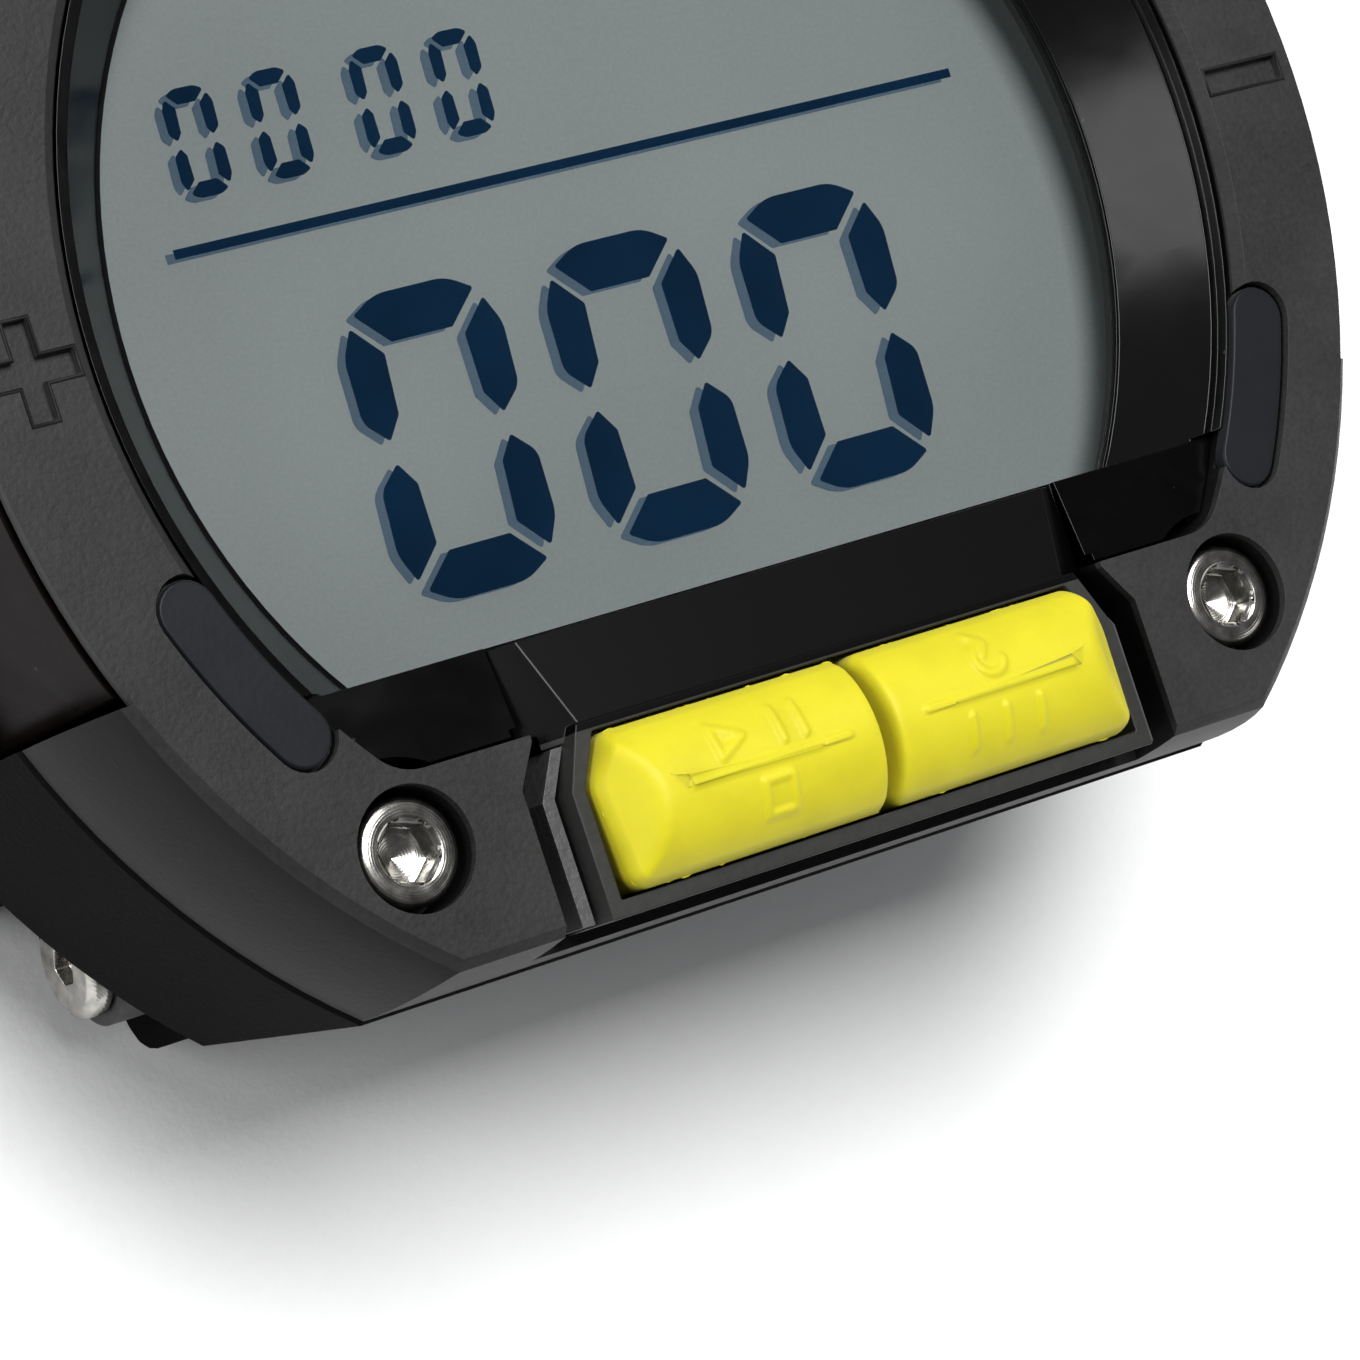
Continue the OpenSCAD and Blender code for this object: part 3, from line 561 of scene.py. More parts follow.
@dataclass(frozen=True)
class CrystalInk(Finish):
    """Driven liquid crystal: a flat tone with the cell's slight unevenness."""

    shade: str = "#081c2f"

    def dress(
        self, tree: bpy.types.NodeTree, shader: bpy.types.Node, place: bpy.types.NodeSocket
    ) -> None:
        """Slow tone changes over a few millimetres.

        Args:
            tree: The material's nodes.
            shader: The shader to dress.
            place: Where on the object the surface is.
        """
        cloud = add_node(
            tree, "ShaderNodeTexNoise", {"Scale": 1 / (4 * MM), "Detail": 2.0}, {"Vector": place}
        )
        self.tint(tree, shader, cloud.outputs["Fac"], self.shade, self.colour)


@dataclass(frozen=True)
class Finishes:
    """Every finish on the object."""

    # Dark grey ABS, spark-eroded: a dry, dark face, and a deeper tone on its flank that is painted
    # shade
    bezel: Finish = GrainedPlastic(
        "abs_spark_eroded_grey_flank_painted_shade",
        "#2b2b2b",
        0.5,
        specular=0.15,
        # Below this height the flank is painted darker as shade, with half the grain relief
        shade_and_polish_past=("Z", 0.02225, -1),
        polished="#111111",
        polished_roughness=0.5,
        polished_relief=0.5,
    )
    # The same plastic with a slightly coarser grain, as on the unit's sides; its much darker tone
    # is painted shade
    shell: Finish = GrainedPlastic(
        # Base, light and dark tones here are the bezel plastic darkened as painted shade
        "abs_spark_eroded_shell_painted_shade", "#0f0f0f", 0.6, specular=0.015, light="#121212", dark="#0d0d0d"
    )
    # Black ABS of the cover: the same grain, deeper tone
    cover: Finish = GrainedPlastic(
        "abs_spark_eroded_black", "#080808", 0.55, specular=0.015, light="#0a0a0a", dark="#060606"
    )
    # Satin black ABS around the keys, from a lightly blasted tool
    panel: Finish = GrainedPlastic(
        "abs_blasted_black",
        "#2e2e2d",
        0.42,
        specular=0.35,
        grain_mm=0.3,
        relief_mm=0.01,
        light="#343433",
        dark="#282827",
    )
    # The key panel: the same plastic, polished where it slopes to the display
    keypad: Finish = GrainedPlastic(
        "abs_blasted_keypad",
        "#2e2e2d",
        0.45,
        specular=0.2,
        grain_mm=0.3,
        relief_mm=0.012,
        light="#333332",
        dark="#282827",
        shade_and_polish_past=("Y", -0.0193, 1),
    )
    # Mid grey strip that edges the key panel
    strip: Finish = GrainedPlastic(
        "abs_blasted_strip", "#4a4a4a", 0.35, grain_mm=0.3, light="#525252", dark="#404040"
    )
    # Black polycarbonate, polished: deep reflections in the display well
    gloss: Finish = PolishedPlastic("polycarbonate_polished_black", "#020202", 0.18, specular=0.2)
    # Soft-touch insert, blue-black with a low sheen
    inlay: Finish = MouldedRubber(
        "tpe_moulded_inlay", "#13151a", 0.42, specular=0.15, pore_mm=0.25, shade="#0f1115"
    )
    # Pigmented silicone: saturated yellow, lit a little from inside at its edges
    silicone: Finish = MouldedRubber(
        "silicone_moulded_yellow",
        "#c9bf1c",
        0.5,
        specular=0.25,
        pore_mm=0.3,
        shade="#c0b618",
        glow=0.12,
    )
    # Side keys: smoked polycarbonate, black, with a red tint in its colour that is a painted
    # reflection
    side_key: Finish = PolishedPlastic("polycarbonate_smoked_painted_red_reflection", "#0b0605", 0.25, specular=0.03)
    # Stainless steel, turned and broached, bright
    stainless: Finish = TurnedMetal("stainless_turned", "#cfccc6", 0.2, metallic=1.0)
    # Brass, turned: warm yellow with fine tool rings
    brass: Finish = TurnedMetal(
        "brass_turned", "#c9a75c", 0.28, metallic=1.0, shade="#a88545"
    )
    # Tinned sheet steel: pale grey, with soft clouding
    tinned: Finish = RolledMetal("steel_tinned", "#b5b5b2", 0.3, metallic=1.0)
    # Nickel plate on the cell: bright, with faint rolling lines
    nickel: Finish = RolledMetal("nickel_plated_cell", "#bdbcb8", 0.22, metallic=1.0)
    # Etched copper under a clear lacquer: orange-brown and satin
    copper: Finish = RolledMetal(
        "copper_etched", "#c98f62", 0.32, metallic=1.0, shade="#b07a50"
    )
    # Circuit board laminate, lacquered green: glossy, with tracks standing through
    board: Finish = SolderMask("laminate_green_mask", "#175c30", 0.3, coat=0.3)
    # Woven microwave laminate: cream and matt, with the cloth's grain
    laminate: Finish = GrainedPlastic(
        "laminate_woven_cream", "#d8d0b4", 0.6, grain_mm=0.5, light="#ddd6bc", dark="#cfc6a6"
    )
    # Glass-filled nylon: black with a slightly fibrous sheen
    nylon: Finish = GrainedPlastic(
        "nylon_glass_filled",
        "#161718",
        0.45,
        grain_mm=0.35,
        relief_mm=0.02,
        light="#1d1e1f",
        dark="#121314",
    )
    # Natural nylon, moulded: milky and satin
    natural: Finish = GrainedPlastic(
        "nylon_natural", "#d8d4c8", 0.5, grain_mm=0.4, light="#dcd8cd", dark="#cec9bb"
    )
    # Epoxy, transfer moulded: matt charcoal with a very fine grain
    epoxy: Finish = GrainedPlastic(
        "epoxy_moulded", "#1a1a1b", 0.6, grain_mm=0.15, light="#202021", dark="#161617"
    )
    # Nitrile rubber, moulded: dull black
    seal: Finish = MouldedRubber("nitrile_seal", "#232323", 0.6)
    # Reflective foil with a matt lacquer: silver-green with a fine sparkle
    film: Finish = DisplayFilm("foil_reflective_matt", "#727a79", 0.55, specular=0.3)
    # Driven liquid crystal: deep blue, flat and without gloss
    crystal: Finish = CrystalInk("liquid_crystal_dark", "#0a2136", 0.4, specular=0.0, alpha=0.94)
    # What a segment throws on the film behind it: the same blue, washed out
    shadow: Finish = CrystalInk(
        "liquid_crystal_shadow", "#34495c", 0.5, specular=0.0, alpha=0.55, shade="#2e4356"
    )
    # Clear acrylic, polished: all but invisible, with a faint gloss
    acrylic: Finish = Finish("acrylic_clear", "#0a0c0c", 0.05, alpha=0.04)


FINISH = Finishes()

# ------------------------------------------------------------------- shapes


def new_piece(
    name: str,
    points: Iterable[Vector],
    faces: Sequence[Sequence[int]],
    finish: Finish,
    body: Body,
    slot: str,
    at: Vector = Vector((0, 0, 0)),
    smooth: bool = True,
) -> bpy.types.Object:
    """Makes a mesh piece, dresses it and sets it on its body.

    Args:
        name: The piece's name.
        points: Vertices in metres, measured from the place given by at.
        faces: Vertex numbers of each face.
        finish: The piece's finish.
        body: The body that it rides on.
        slot: The material slot; not used.
        at: Where the piece's own origin is.
        smooth: Whether the faces are shaded smooth.

    Returns:
        The new object.
    """
    mesh = bpy.data.meshes.new(name)
    mesh.from_pydata([tuple(p) for p in points], [], [tuple(f) for f in faces])
    mesh.validate()
    built = bmesh.new()
    built.from_mesh(mesh)
    bmesh.ops.recalc_face_normals(built, faces=built.faces)
    built.to_mesh(mesh)
    built.free()
    mesh.polygons.foreach_set("use_smooth", [smooth] * len(mesh.polygons))
    mesh.materials.append(finish.material())
    piece = bpy.data.objects.new(name, mesh)
    piece.location = at
    bpy.context.scene.collection.objects.link(piece)
    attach(piece, body.value)
    log.info("%s: %d faces on %s", name, len(mesh.polygons), body.value)
    return piece


def soften(piece: bpy.types.Object, radius_mm: float, angle_deg: float = 28.0) -> None:
    """Rounds a piece's sharp edges, as a mould or a tumbler leaves them.

    Args:
        piece: The object whose edges are rounded.
        radius_mm: Width of the rounding in millimetres.
        angle_deg: Edges sharper than this are rounded.
    """
    weld = piece.modifiers.new("weld", "WELD")
    weld.merge_threshold = 0.002 * MM
    flat = piece.modifiers.new("join_flats", "DECIMATE")
    flat.decimate_type = "DISSOLVE"
    flat.angle_limit = math.radians(0.4)
    bevel = piece.modifiers.new("rounding", "BEVEL")
    bevel.width = radius_mm * MM
    bevel.segments = 2
    bevel.limit_method = "ANGLE"
    bevel.angle_limit = math.radians(angle_deg)
    bevel.use_clamp_overlap = True
    bevel.miter_outer = "MITER_ARC"
    normals = piece.modifiers.new("even_shading", "WEIGHTED_NORMAL")
    normals.keep_sharp = False
    normals.weight = 60


def skin(
    loops: Sequence[Loop], close_start: bool = True, close_end: bool = True
) -> list[list[int]]:
    """Joins loops of equal length into a closed skin.

    Args:
        loops: Rings of points, each as long as the others.
        close_start: Whether the first ring is filled.
        close_end: Whether the last ring is filled.

    Returns:
        The faces, by point number in the order of the rings.
    """
    count = len(loops[0])
    faces: list[list[int]] = []
    for row in range(len(loops) - 1):
        low, high = row * count, (row + 1) * count
        for i in range(count):
            j = (i + 1) % count
            faces.append([low + i, low + j, high + j, high + i])
    if close_start:
        faces.append(list(range(count))[::-1])
    if close_end:
        last = (len(loops) - 1) * count
        faces.append(list(range(last, last + count)))
    return faces


def flatten(loops: Sequence[Loop]) -> list[Vector]:
    """Returns all points of the rings in order."""
    return [p for loop in loops for p in loop]


def plate(outline: Sequence[Point], low: float, high: float) -> MeshLists:
    """Makes a thin plate from an outline in millimetres.

    Args:
        outline: Corner points.
        low: Underside height in metres.
        high: Top height in metres.

    Returns:
        Points in metres and faces.
    """
    loops = [[Vector((x * MM, y * MM, z)) for x, y in outline] for z in (low, high)]
    return flatten(loops), skin(loops)


def merged(parts: Iterable[MeshLists]) -> MeshLists:
    """Puts several point and face lists into one.

    Args:
        parts: Points and faces of each part.

    Returns:
        All points, and all faces numbered to match.
    """
    points: list[Vector] = []
    faces: list[list[int]] = []
    for part_points, part_faces in parts:
        start = len(points)
        points.extend(part_points)
        faces.extend([[i + start for i in face] for face in part_faces])
    return points, faces


def inset_rounded(
    corners: Sequence[Point], radii: Sequence[float], inset: float, steps: int = 8
) -> list[Point]:
    """Outline of a convex polygon set in by an amount, with rounded corners.

    Args:
        corners: Corner points in millimetres, anticlockwise.
        radii: Corner radius of each corner before it is set in.
        inset: Distance that the sides move inwards; negative moves them out.
        steps: Points per rounded corner, less one.

    Returns:
        Points of the outline, the same number for every inset.
    """
    count = len(corners)
    sides = []
    for i in range(count):
        a, b = Vector(corners[i]), Vector(corners[(i + 1) % count])
        along = (b - a).normalized()
        inward = Vector((-along.y, along.x))
        sides.append((a + inward * inset, along, inward))
    outline: list[Point] = []
    for i in range(count):
        before, after = sides[i - 1], sides[i]
        cross = before[1].x * after[1].y - before[1].y * after[1].x
        gap = after[0] - before[0]
        travel = (gap.x * after[1].y - gap.y * after[1].x) / cross
        corner = before[0] + before[1] * travel
        radius = max(radii[i] - inset, 0.08)
        turn = math.atan2(cross, before[1].dot(after[1]))
        back = radius * math.tan(turn / 2)
        centre = corner - before[1] * back + before[2] * radius
        start = math.atan2(-before[2].y, -before[2].x)
        for k in range(steps + 1):
            angle = start + turn * k / steps
            outline.append(
                (centre.x + radius * math.cos(angle), centre.y + radius * math.sin(angle))
            )
    return outline


@dataclass(frozen=True)
class Datum:
    """Where the round face is: its axis and its height, read from the frame."""

    axis_y: float
    face_z: float

    @classmethod
    def read(cls) -> "Datum":
        """Reads the axis from the round display surround and the height from the bezel."""
        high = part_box("display_surround")[1]
        return cls(axis_y=high.y - high.x, face_z=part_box("front_bezel")[1].z)

    def place(self, x: float, y: float, z: float = 0.0) -> Vector:
        """Turns millimetres from the middle of the face into a place.

        Args:
            x: Distance to the right.
            y: Distance up the face.
            z: Height above the face.

        Returns:
            The place in metres.
        """
        return Vector((x * MM, self.axis_y + y * MM, self.face_z + z * MM))

    @property
    def origin(self) -> Vector:
        """The axis of the face at the level of the back."""
        return Vector((0, self.axis_y, 0))


# ------------------------------------------------------------- sub-assemblies


@dataclass
class Housing:
    """Bezel, shell, cover and the fixed moulded parts, dressed and edge-rounded."""

    nodes: dict[str, bpy.types.Object]
    datum: Datum
    bezel_edge_mm: float = 0.07
    shell_edge_mm: float = 0.12
    lip_width_mm: float = 0.16
    lip_height_mm: float = 0.07
    mark_arm_mm: float = 1.7
    mark_half_mm: float = 0.42
    mark_at_mm: Point = (25.7, 0.3)
    thread_mm: float = 3.175
    thread_pitch_mm: float = 1.27
    thread_depth_mm: float = 0.42
    thread_wall_mm: float = 0.1
    thread_start_mm: float = 0.35
    thread_lead_mm: float = 0.5

    def dress(self) -> None:
        """Gives each moulded part its finish and softened edges."""
        finishes: dict[str, tuple[Finish, float]] = {
            "front_bezel": (FINISH.bezel, self.bezel_edge_mm),
            "inlay_left": (FINISH.inlay, 0.12),
            "inlay_right": (FINISH.inlay, 0.12),
            "rear_shell": (FINISH.shell, self.shell_edge_mm),
            "rear_cover": (FINISH.cover, self.shell_edge_mm),
            "radome": (FINISH.panel, 0.15),
            "tripod_insert": (FINISH.brass, 0.1),
            "screw_inserts": (FINISH.brass, 0.0),
        }
        for name, (finish, radius) in finishes.items():
            paint(self.nodes[name], finish)
            if radius:
                soften(self.nodes[name], radius)

    def tripod_thread(self) -> None:
        """The quarter-inch thread inside the brass insert, 1.27 mm in pitch."""
        low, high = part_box("tripod_insert")
        middle = Vector(((low.x + high.x) / 2, low.y, (low.z + high.z) / 2))
        steps, rows, row_mm = 72, 50, 0.1
        angles = [math.tau * i / steps for i in range(steps)]
        stations = [self.thread_start_mm + row_mm * k for k in range(rows)]
        loops: list[Loop] = [
            [round_point(self.thread_radius(y, i / steps), y, a) for i, a in enumerate(angles)]
            for y in stations
        ]
        outer = self.thread_mm + self.thread_wall_mm
        for y in (stations[-1], stations[0]):
            loops.append([round_point(outer, y, a) for a in angles])
        loops.append(loops[0])
        points, faces = flatten(loops), skin(loops, False, False)
        piece = new_piece(
            "tripod_thread", points, faces, FINISH.brass, Body.HOUSING, "brass_contacts", middle
        )
        seam = piece.modifiers.new("weld", "WELD")
        seam.merge_threshold = 0.001 * MM

    def thread_radius(self, y: float, turn: float) -> float:
        """Radius of the thread in millimetres.

        Args:
            y: Distance in from the mouth in millimetres.
            turn: Angle round the thread, as a share of a whole turn.

        Returns:
            The radius, full size at the start and shallower over the lead-in.
        """
        phase = (y / self.thread_pitch_mm - turn) % 1.0
        tooth = 1 - abs(2 * phase - 1)
        ease = min((y - self.thread_start_mm) / self.thread_lead_mm, 1.0)
        return self.thread_mm - self.thread_depth_mm * ease * min(tooth * 1.3, 1.0)

    def mark_lips(self) -> None:
        """Raised soft lips around the recessed plus and minus marks."""
        for name, side, arms in (("plus_mark", -1, 2), ("minus_mark", 1, 1)):
            outline = self.cross_outline() if arms == 2 else self.bar_outline()
            centre = self.datum.place(side * self.mark_at_mm[0], self.mark_at_mm[1])
            points, faces = ridge(outline, self.lip_width_mm, self.lip_height_mm)
            new_piece(
                f"{name}_lip", points, faces, FINISH.bezel, Body.HOUSING, "bezel_plastic", centre
            )

    def cross_outline(self) -> list[Point]:
        """Outline of a plus sign.

        Returns:
            Points in millimetres, anticlockwise.
        """
        a, h = self.mark_arm_mm, self.mark_half_mm
        return [
            (a, -h), (a, h), (h, h), (h, a), (-h, a), (-h, h),
            (-a, h), (-a, -h), (-h, -h), (-h, -a), (h, -a), (h, -h),
        ]

    def bar_outline(self) -> list[Point]:
        """Outline of a minus sign, anticlockwise."""
        a, h = self.mark_arm_mm, self.mark_half_mm
        return [(a, -h), (a, h), (-a, h), (-a, -h)]


def round_point(radius: float, y: float, angle: float) -> Vector:
    """Point on a ring about the Y axis, from millimetres to metres."""
    return Vector((radius * math.cos(angle), y, radius * math.sin(angle))) * MM


def ridge(
    outline: Sequence[Point], width: float, height: float
) -> MeshLists:
    """A low half-round ridge that follows a closed outline.

    Args:
        outline: Points in millimetres, anticlockwise.
        width: Ridge width in millimetres, outside the outline.
        height: Ridge height in millimetres.

    Returns:
        Points in metres around the local origin, and faces.
    """
    count = len(outline)
    steps = 5
    points: list[Vector] = []
    for i in range(count):
        here = Vector(outline[i])
        ahead = (Vector(outline[(i + 1) % count]) - here).normalized()
        behind = (here - Vector(outline[i - 1])).normalized()
        outward = Vector((ahead.y, -ahead.x)) + Vector((behind.y, -behind.x))
        cross = behind.x * ahead.y - behind.y * ahead.x
        outward = outward.normalized() * (math.sqrt(2) if abs(cross) > 0.5 else 1.0)
        for k in range(steps + 1):
            t = k / steps
            spot = here + outward * width * t
            lift = height * math.sin(math.pi * t) - 0.02
            points.append(Vector((spot.x * MM, spot.y * MM, lift * MM)))
    faces = []
    row = steps + 1
    for i in range(count):
        j = (i + 1) % count
        for k in range(steps):
            faces.append([i * row + k, j * row + k, j * row + k + 1, i * row + k + 1])
        faces.append([i * row, i * row + steps, j * row + steps, j * row])
    return points, faces


def paint(piece: bpy.types.Object, finish: Finish) -> None:
    """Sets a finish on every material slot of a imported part.

    Args:
        piece: The part's object.
        finish: The finish that it gets.
    """
    material = finish.material()
    if not piece.data.materials:
        piece.data.materials.append(material)
    for i in range(len(piece.data.materials)):
        piece.data.materials[i] = material


@dataclass
class Display:
    """The liquid crystal display: film, segments, their shadows and the well around it."""

    nodes: dict[str, bpy.types.Object]
    datum: Datum
    cell_gap_mm: float = 0.72
    ink_mm: float = 0.02
    digit_x_mm: Sequence[float] = (-8.63, -0.25, 8.13)
    digit_y_mm: float = -4.65
    digit_half_mm: Point = (3.22, 5.52)
    bar_mm: float = 1.56
    small_x_mm: Sequence[float] = (-14.5, -11.2, -7.0, -3.7)
    small_y_mm: float = 7.45
    small_half_mm: Point = (0.98, 1.95)
    small_bar_mm: float = 0.5
    line_half_mm: float = 16.7
    line_y_mm: float = 3.8
    line_thick_mm: float = 0.34
    slant: float = 0.055

    def build(self) -> None:
        """Builds the display's layers."""
        for name, finish in (
            ("display_surround", FINISH.gloss),
            ("window_lens", FINISH.acrylic),
            ("lens_seal", FINISH.seal),
            ("lcd_reflector", FINISH.tinned),
            ("lcd_holder", FINISH.natural),
            ("zebra_strips", FINISH.seal),
        ):
            paint(self.nodes[name], finish)
        soften(self.nodes["display_surround"], 0.08)
        low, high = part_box("lcd_glass")
        glass_r = (high.x - low.x) / 2 / MM
        cut = (self.datum.axis_y - low.y) / MM
        film_top = high.z - self.cell_gap_mm * MM
        outline = self.cut_circle(glass_r, cut)
        points, faces = plate(outline, low.z, film_top)
        film = new_piece(
            "display_film", points, faces, FINISH.film, Body.HOUSING, "lcd_face",
            self.datum.origin, smooth=False,
        )
        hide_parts("lcd_glass")
        shapes = self.segments()
        for name, finish, top in (
            ("segment_shadows", FINISH.shadow, film_top + 2 * self.ink_mm * MM),
            ("segments", FINISH.crystal, high.z - self.ink_mm * MM),
        ):
            points, faces = merged(plate(s, top - self.ink_mm * MM, top) for s in shapes)
            layer = new_piece(
                f"display_{name}", points, faces, finish, Body.HOUSING, "lcd_face",
                self.datum.origin, smooth=False,
            )
            layer.visible_shadow = False

    def cut_circle(self, radius: float, cut: float, steps: int = 160) -> list[Point]:
        """Outline of a circle with its lower side cut straight.

        Args:
            radius: Radius in millimetres.
            cut: Distance from the middle down to the straight side.
            steps: Number of short sides along the arc.

        Returns:
            Points of the outline, in millimetres.
        """
        start = math.asin(-cut / radius)
        sweep = math.pi - 2 * start
        angles = [start + sweep * i / steps for i in range(steps + 1)]
        return [(radius * math.cos(a), radius * math.sin(a)) for a in angles]

    def segments(self) -> list[list[Point]]:
        """Outlines of every segment that shows.

        Returns:
            One outline per segment, in millimetres from the face axis.
        """
        shapes: list[list[Point]] = []
        for x in self.digit_x_mm:
            shapes += self.zero((x, self.digit_y_mm), self.digit_half_mm, self.bar_mm)
        for x in self.small_x_mm:
            shapes += self.zero((x, self.small_y_mm), self.small_half_mm, self.small_bar_mm)
        half, y, thin = self.line_half_mm, self.line_y_mm, self.line_thick_mm / 2
        shapes.append([(-half, y - thin), (half, y - thin), (half, y + thin), (-half, y + thin)])
        return shapes

    def zero(self, centre: Point, half: Point, bar: float) -> list[list[Point]]:
        """Six segments of a seven-segment zero, bulged outwards and pointed at their ends.

        Args:
            centre: Middle of the digit.
            half: Half of its width and of its height.
            bar: Width of an upright segment.

        Returns:
            One outline per segment.
        """
        w, h = half
        inner_w, inner_h = w - bar, h - bar * 1.13
        upright = [
            (w - bar * 0.56, bar * 0.26),
            (w, bar * 0.78),
            (w + bar * 0.03, h - bar * 1.3),
            (w - bar * 0.3, inner_h + bar * 0.5),
            (inner_w, inner_h - bar * 0.22),
            (inner_w + bar * 0.06, bar * 0.8),
        ]
        level = [
            (-inner_w + bar * 0.26, inner_h),
            (inner_w - bar * 0.26, inner_h),
            (inner_w + bar * 0.52, inner_h + bar * 0.76),
            (inner_w - bar * 0.12, h),
            (-inner_w + bar * 0.12, h),
            (-inner_w - bar * 0.52, inner_h + bar * 0.76),
        ]
        upright_radii = [bar * r for r in (0.06, 0.5, 0.9, 0.06, 0.12, 0.12)]
        level_radii = [bar * r for r in (0.06, 0.06, 0.06, 1.2, 1.2, 0.06)]
        shapes = []
        for sy in (1, -1):
            ring = inset_rounded(level, level_radii, 0.0)
            shapes.append([(x, sy * y) for x, y in ring])
            for sx in (1, -1):
                ring = inset_rounded(upright, upright_radii, 0.0)
                shapes.append([(sx * x, sy * y) for x, y in ring])
        return [
            [(centre[0] + x + self.slant * y, centre[1] + y) for x, y in ring] for ring in shapes
        ]


@dataclass
class FrontKeys:
    """The two silicone keys with their raised signs, and the panel around them."""

    nodes: dict[str, bpy.types.Object]
    datum: Datum
    half_mm: float = 11.0
    split_mm: float = 0.35
    low_mm: float = -21.7
    high_mm: float = -16.2
    kink_y_mm: float = -17.9
    kink_in_mm: float = 0.95
    shoulder_mm: float = 0.75
    rise_mm: float = 2.28
    split_round_mm: float = 0.45
    foot_drop_mm: float = 0.22
    edge_round_mm: float = 0.28
    facet_blend_mm: float = 0.35
    sign_lift_mm: float = 0.11
    sign_half_mm: float = 0.2
    sign_slope_mm: float = 0.12
    step_mm: float = 0.1
    middle_mm: float = 2.72

    def build(self) -> None:
        """Builds both keys and dresses the panel."""
        for name, finish, radius in (
            ("button_panel", FINISH.keypad, 0.1),
            ("panel_frame", FINISH.strip, 0.06),
            ("key_board", FINISH.board, 0.0),
            ("key_domes", FINISH.brass, 0.0),
            ("key_board_screws", FINISH.stainless, 0.0),
        ):
            paint(self.nodes[name], finish)
            if radius:
                soften(self.nodes[name], radius)
        self.key("start", -1, Body.START, self.start_signs())
        self.key("reset", 1, Body.RESET, self.reset_signs())

    def corners(self, side: int) -> list[Point]:
        """Corners of a key, anticlockwise.

        Args:
            side: -1 for the left key and 1 for the right one.

        Returns:
            Corner points in millimetres.
        """
        inner = self.split_mm / 2
        right = [
            (inner, self.low_mm),
            (self.half_mm - 0.25, self.low_mm),
            (self.half_mm, self.kink_y_mm),
            (self.half_mm - self.kink_in_mm, self.high_mm),
            (inner, self.high_mm),
        ]
        if side > 0:
            return right
        return [(-x, y) for x, y in right[::-1]]

    def radii(self, side: int) -> list[float]:
        """Corner radii in the order of the corners."""
        right = [0.5, 0.75, 1.4, 0.6, 0.5]
        return right if side > 0 else right[::-1]

    def crown(self, x: float, y: float) -> float:
        """Height of the key's surface: arched across, sloped at its outer end.

        Args:
            x: Distance from the middle of the face in millimetres.
            y: Distance up the face in millimetres.

        Returns:
            Height above the face in millimetres.
        """
        half = (self.high_mm - self.low_mm) / 2
        arch = self.rise_mm - self.shoulder_mm
        radius = (half * half + arch * arch) / (2 * arch)
        across = y - (self.high_mm + self.low_mm) / 2
        barrel = self.rise_mm - radius + math.sqrt(max(radius * radius - across * across, 0.0))
        slope = self.shoulder_mm + self.half_mm - abs(x)
        near = abs(x) - self.split_mm / 2
        fall = max(self.split_round_mm - near, 0.0) / self.split_round_mm
        barrel -= self.split_round_mm * (1 - math.sqrt(max(1 - fall * fall, 0.0)))
        soft = self.facet_blend_mm
        blend = max(soft - abs(barrel - slope), 0.0) / soft
        return min(barrel, slope) - blend * blend * soft / 4

    def key(self, name: str, side: int, body: Body, signs: list[list[Point]]) -> None:
        """Builds one key with its signs and the thin flash around its foot.

        Args:
            name: The key's name.
            side: -1 for the left key and 1 for the right one.
            body: The body that it rides on.
            signs: Paths of the raised signs, in millimetres.
        """
        corners, radii = self.corners(side), self.radii(side)
        strokes = [pair for path in signs for pair in zip(path, path[1:])]
        low = (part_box(f"{name}_key")[0].z - self.datum.face_z) / MM
        foot = self.shoulder_mm - self.foot_drop_mm
        loops: list[Loop] = [
            [self.datum.place(x, y, z) for x, y in self.ring(corners, radii, inset)]
            for inset, z in ((0.1, low), (0.0, low + 0.1), (0.0, foot))
        ]
        inset = 0.012
        while inset < self.middle_mm:
            loop = []
            for x, y in self.ring(corners, radii, inset):
                edge = min(inset / self.edge_round_mm, 1.0)
                rounded = foot + (self.crown(x, y) - foot) * math.sqrt(edge * (2 - edge))
                loop.append(self.datum.place(x, y, rounded + self.sign(x, y, strokes)))
            loops.append(loop)
            inset += 0.03 if inset < 0.3 else self.step_mm
        cap = new_piece(
            f"{name}_key_cap", flatten(loops), skin(loops), FINISH.silicone, body, "key_silicone"
        )
        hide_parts(f"{name}_key")
        parts = merged((self.flange(corners, radii, low), self.flash(corners, radii)))
        new_piece(f"{name}_key_rim", *parts, FINISH.silicone, body, "key_silicone")

    def ring(self, corners: list[Point], radii: list[float], inset: float) -> list[Point]:
        """Outline of a key set in by an amount, with points all along its sides.

        Args:
            corners: Corner points in millimetres.
            radii: Radius of each corner.
            inset: Distance that the sides move inwards.

        Returns:
            Points of the outline, the same number for every inset.
        """
        steps = 8
        rounded = inset_rounded(corners, radii, inset, steps)
        points: list[Point] = []
        count = len(corners)
        for i in range(count):
            points += rounded[i * (steps + 1) : (i + 1) * (steps + 1)]
            a = points[-1]
            b = rounded[((i + 1) % count) * (steps + 1)]
            pieces = max(2, round(math.dist(corners[i], corners[(i + 1) % count]) / self.step_mm))
            points += [
                (a[0] + (b[0] - a[0]) * k / pieces, a[1] + (b[1] - a[1]) * k / pieces)
                for k in range(1, pieces)
            ]
        return points

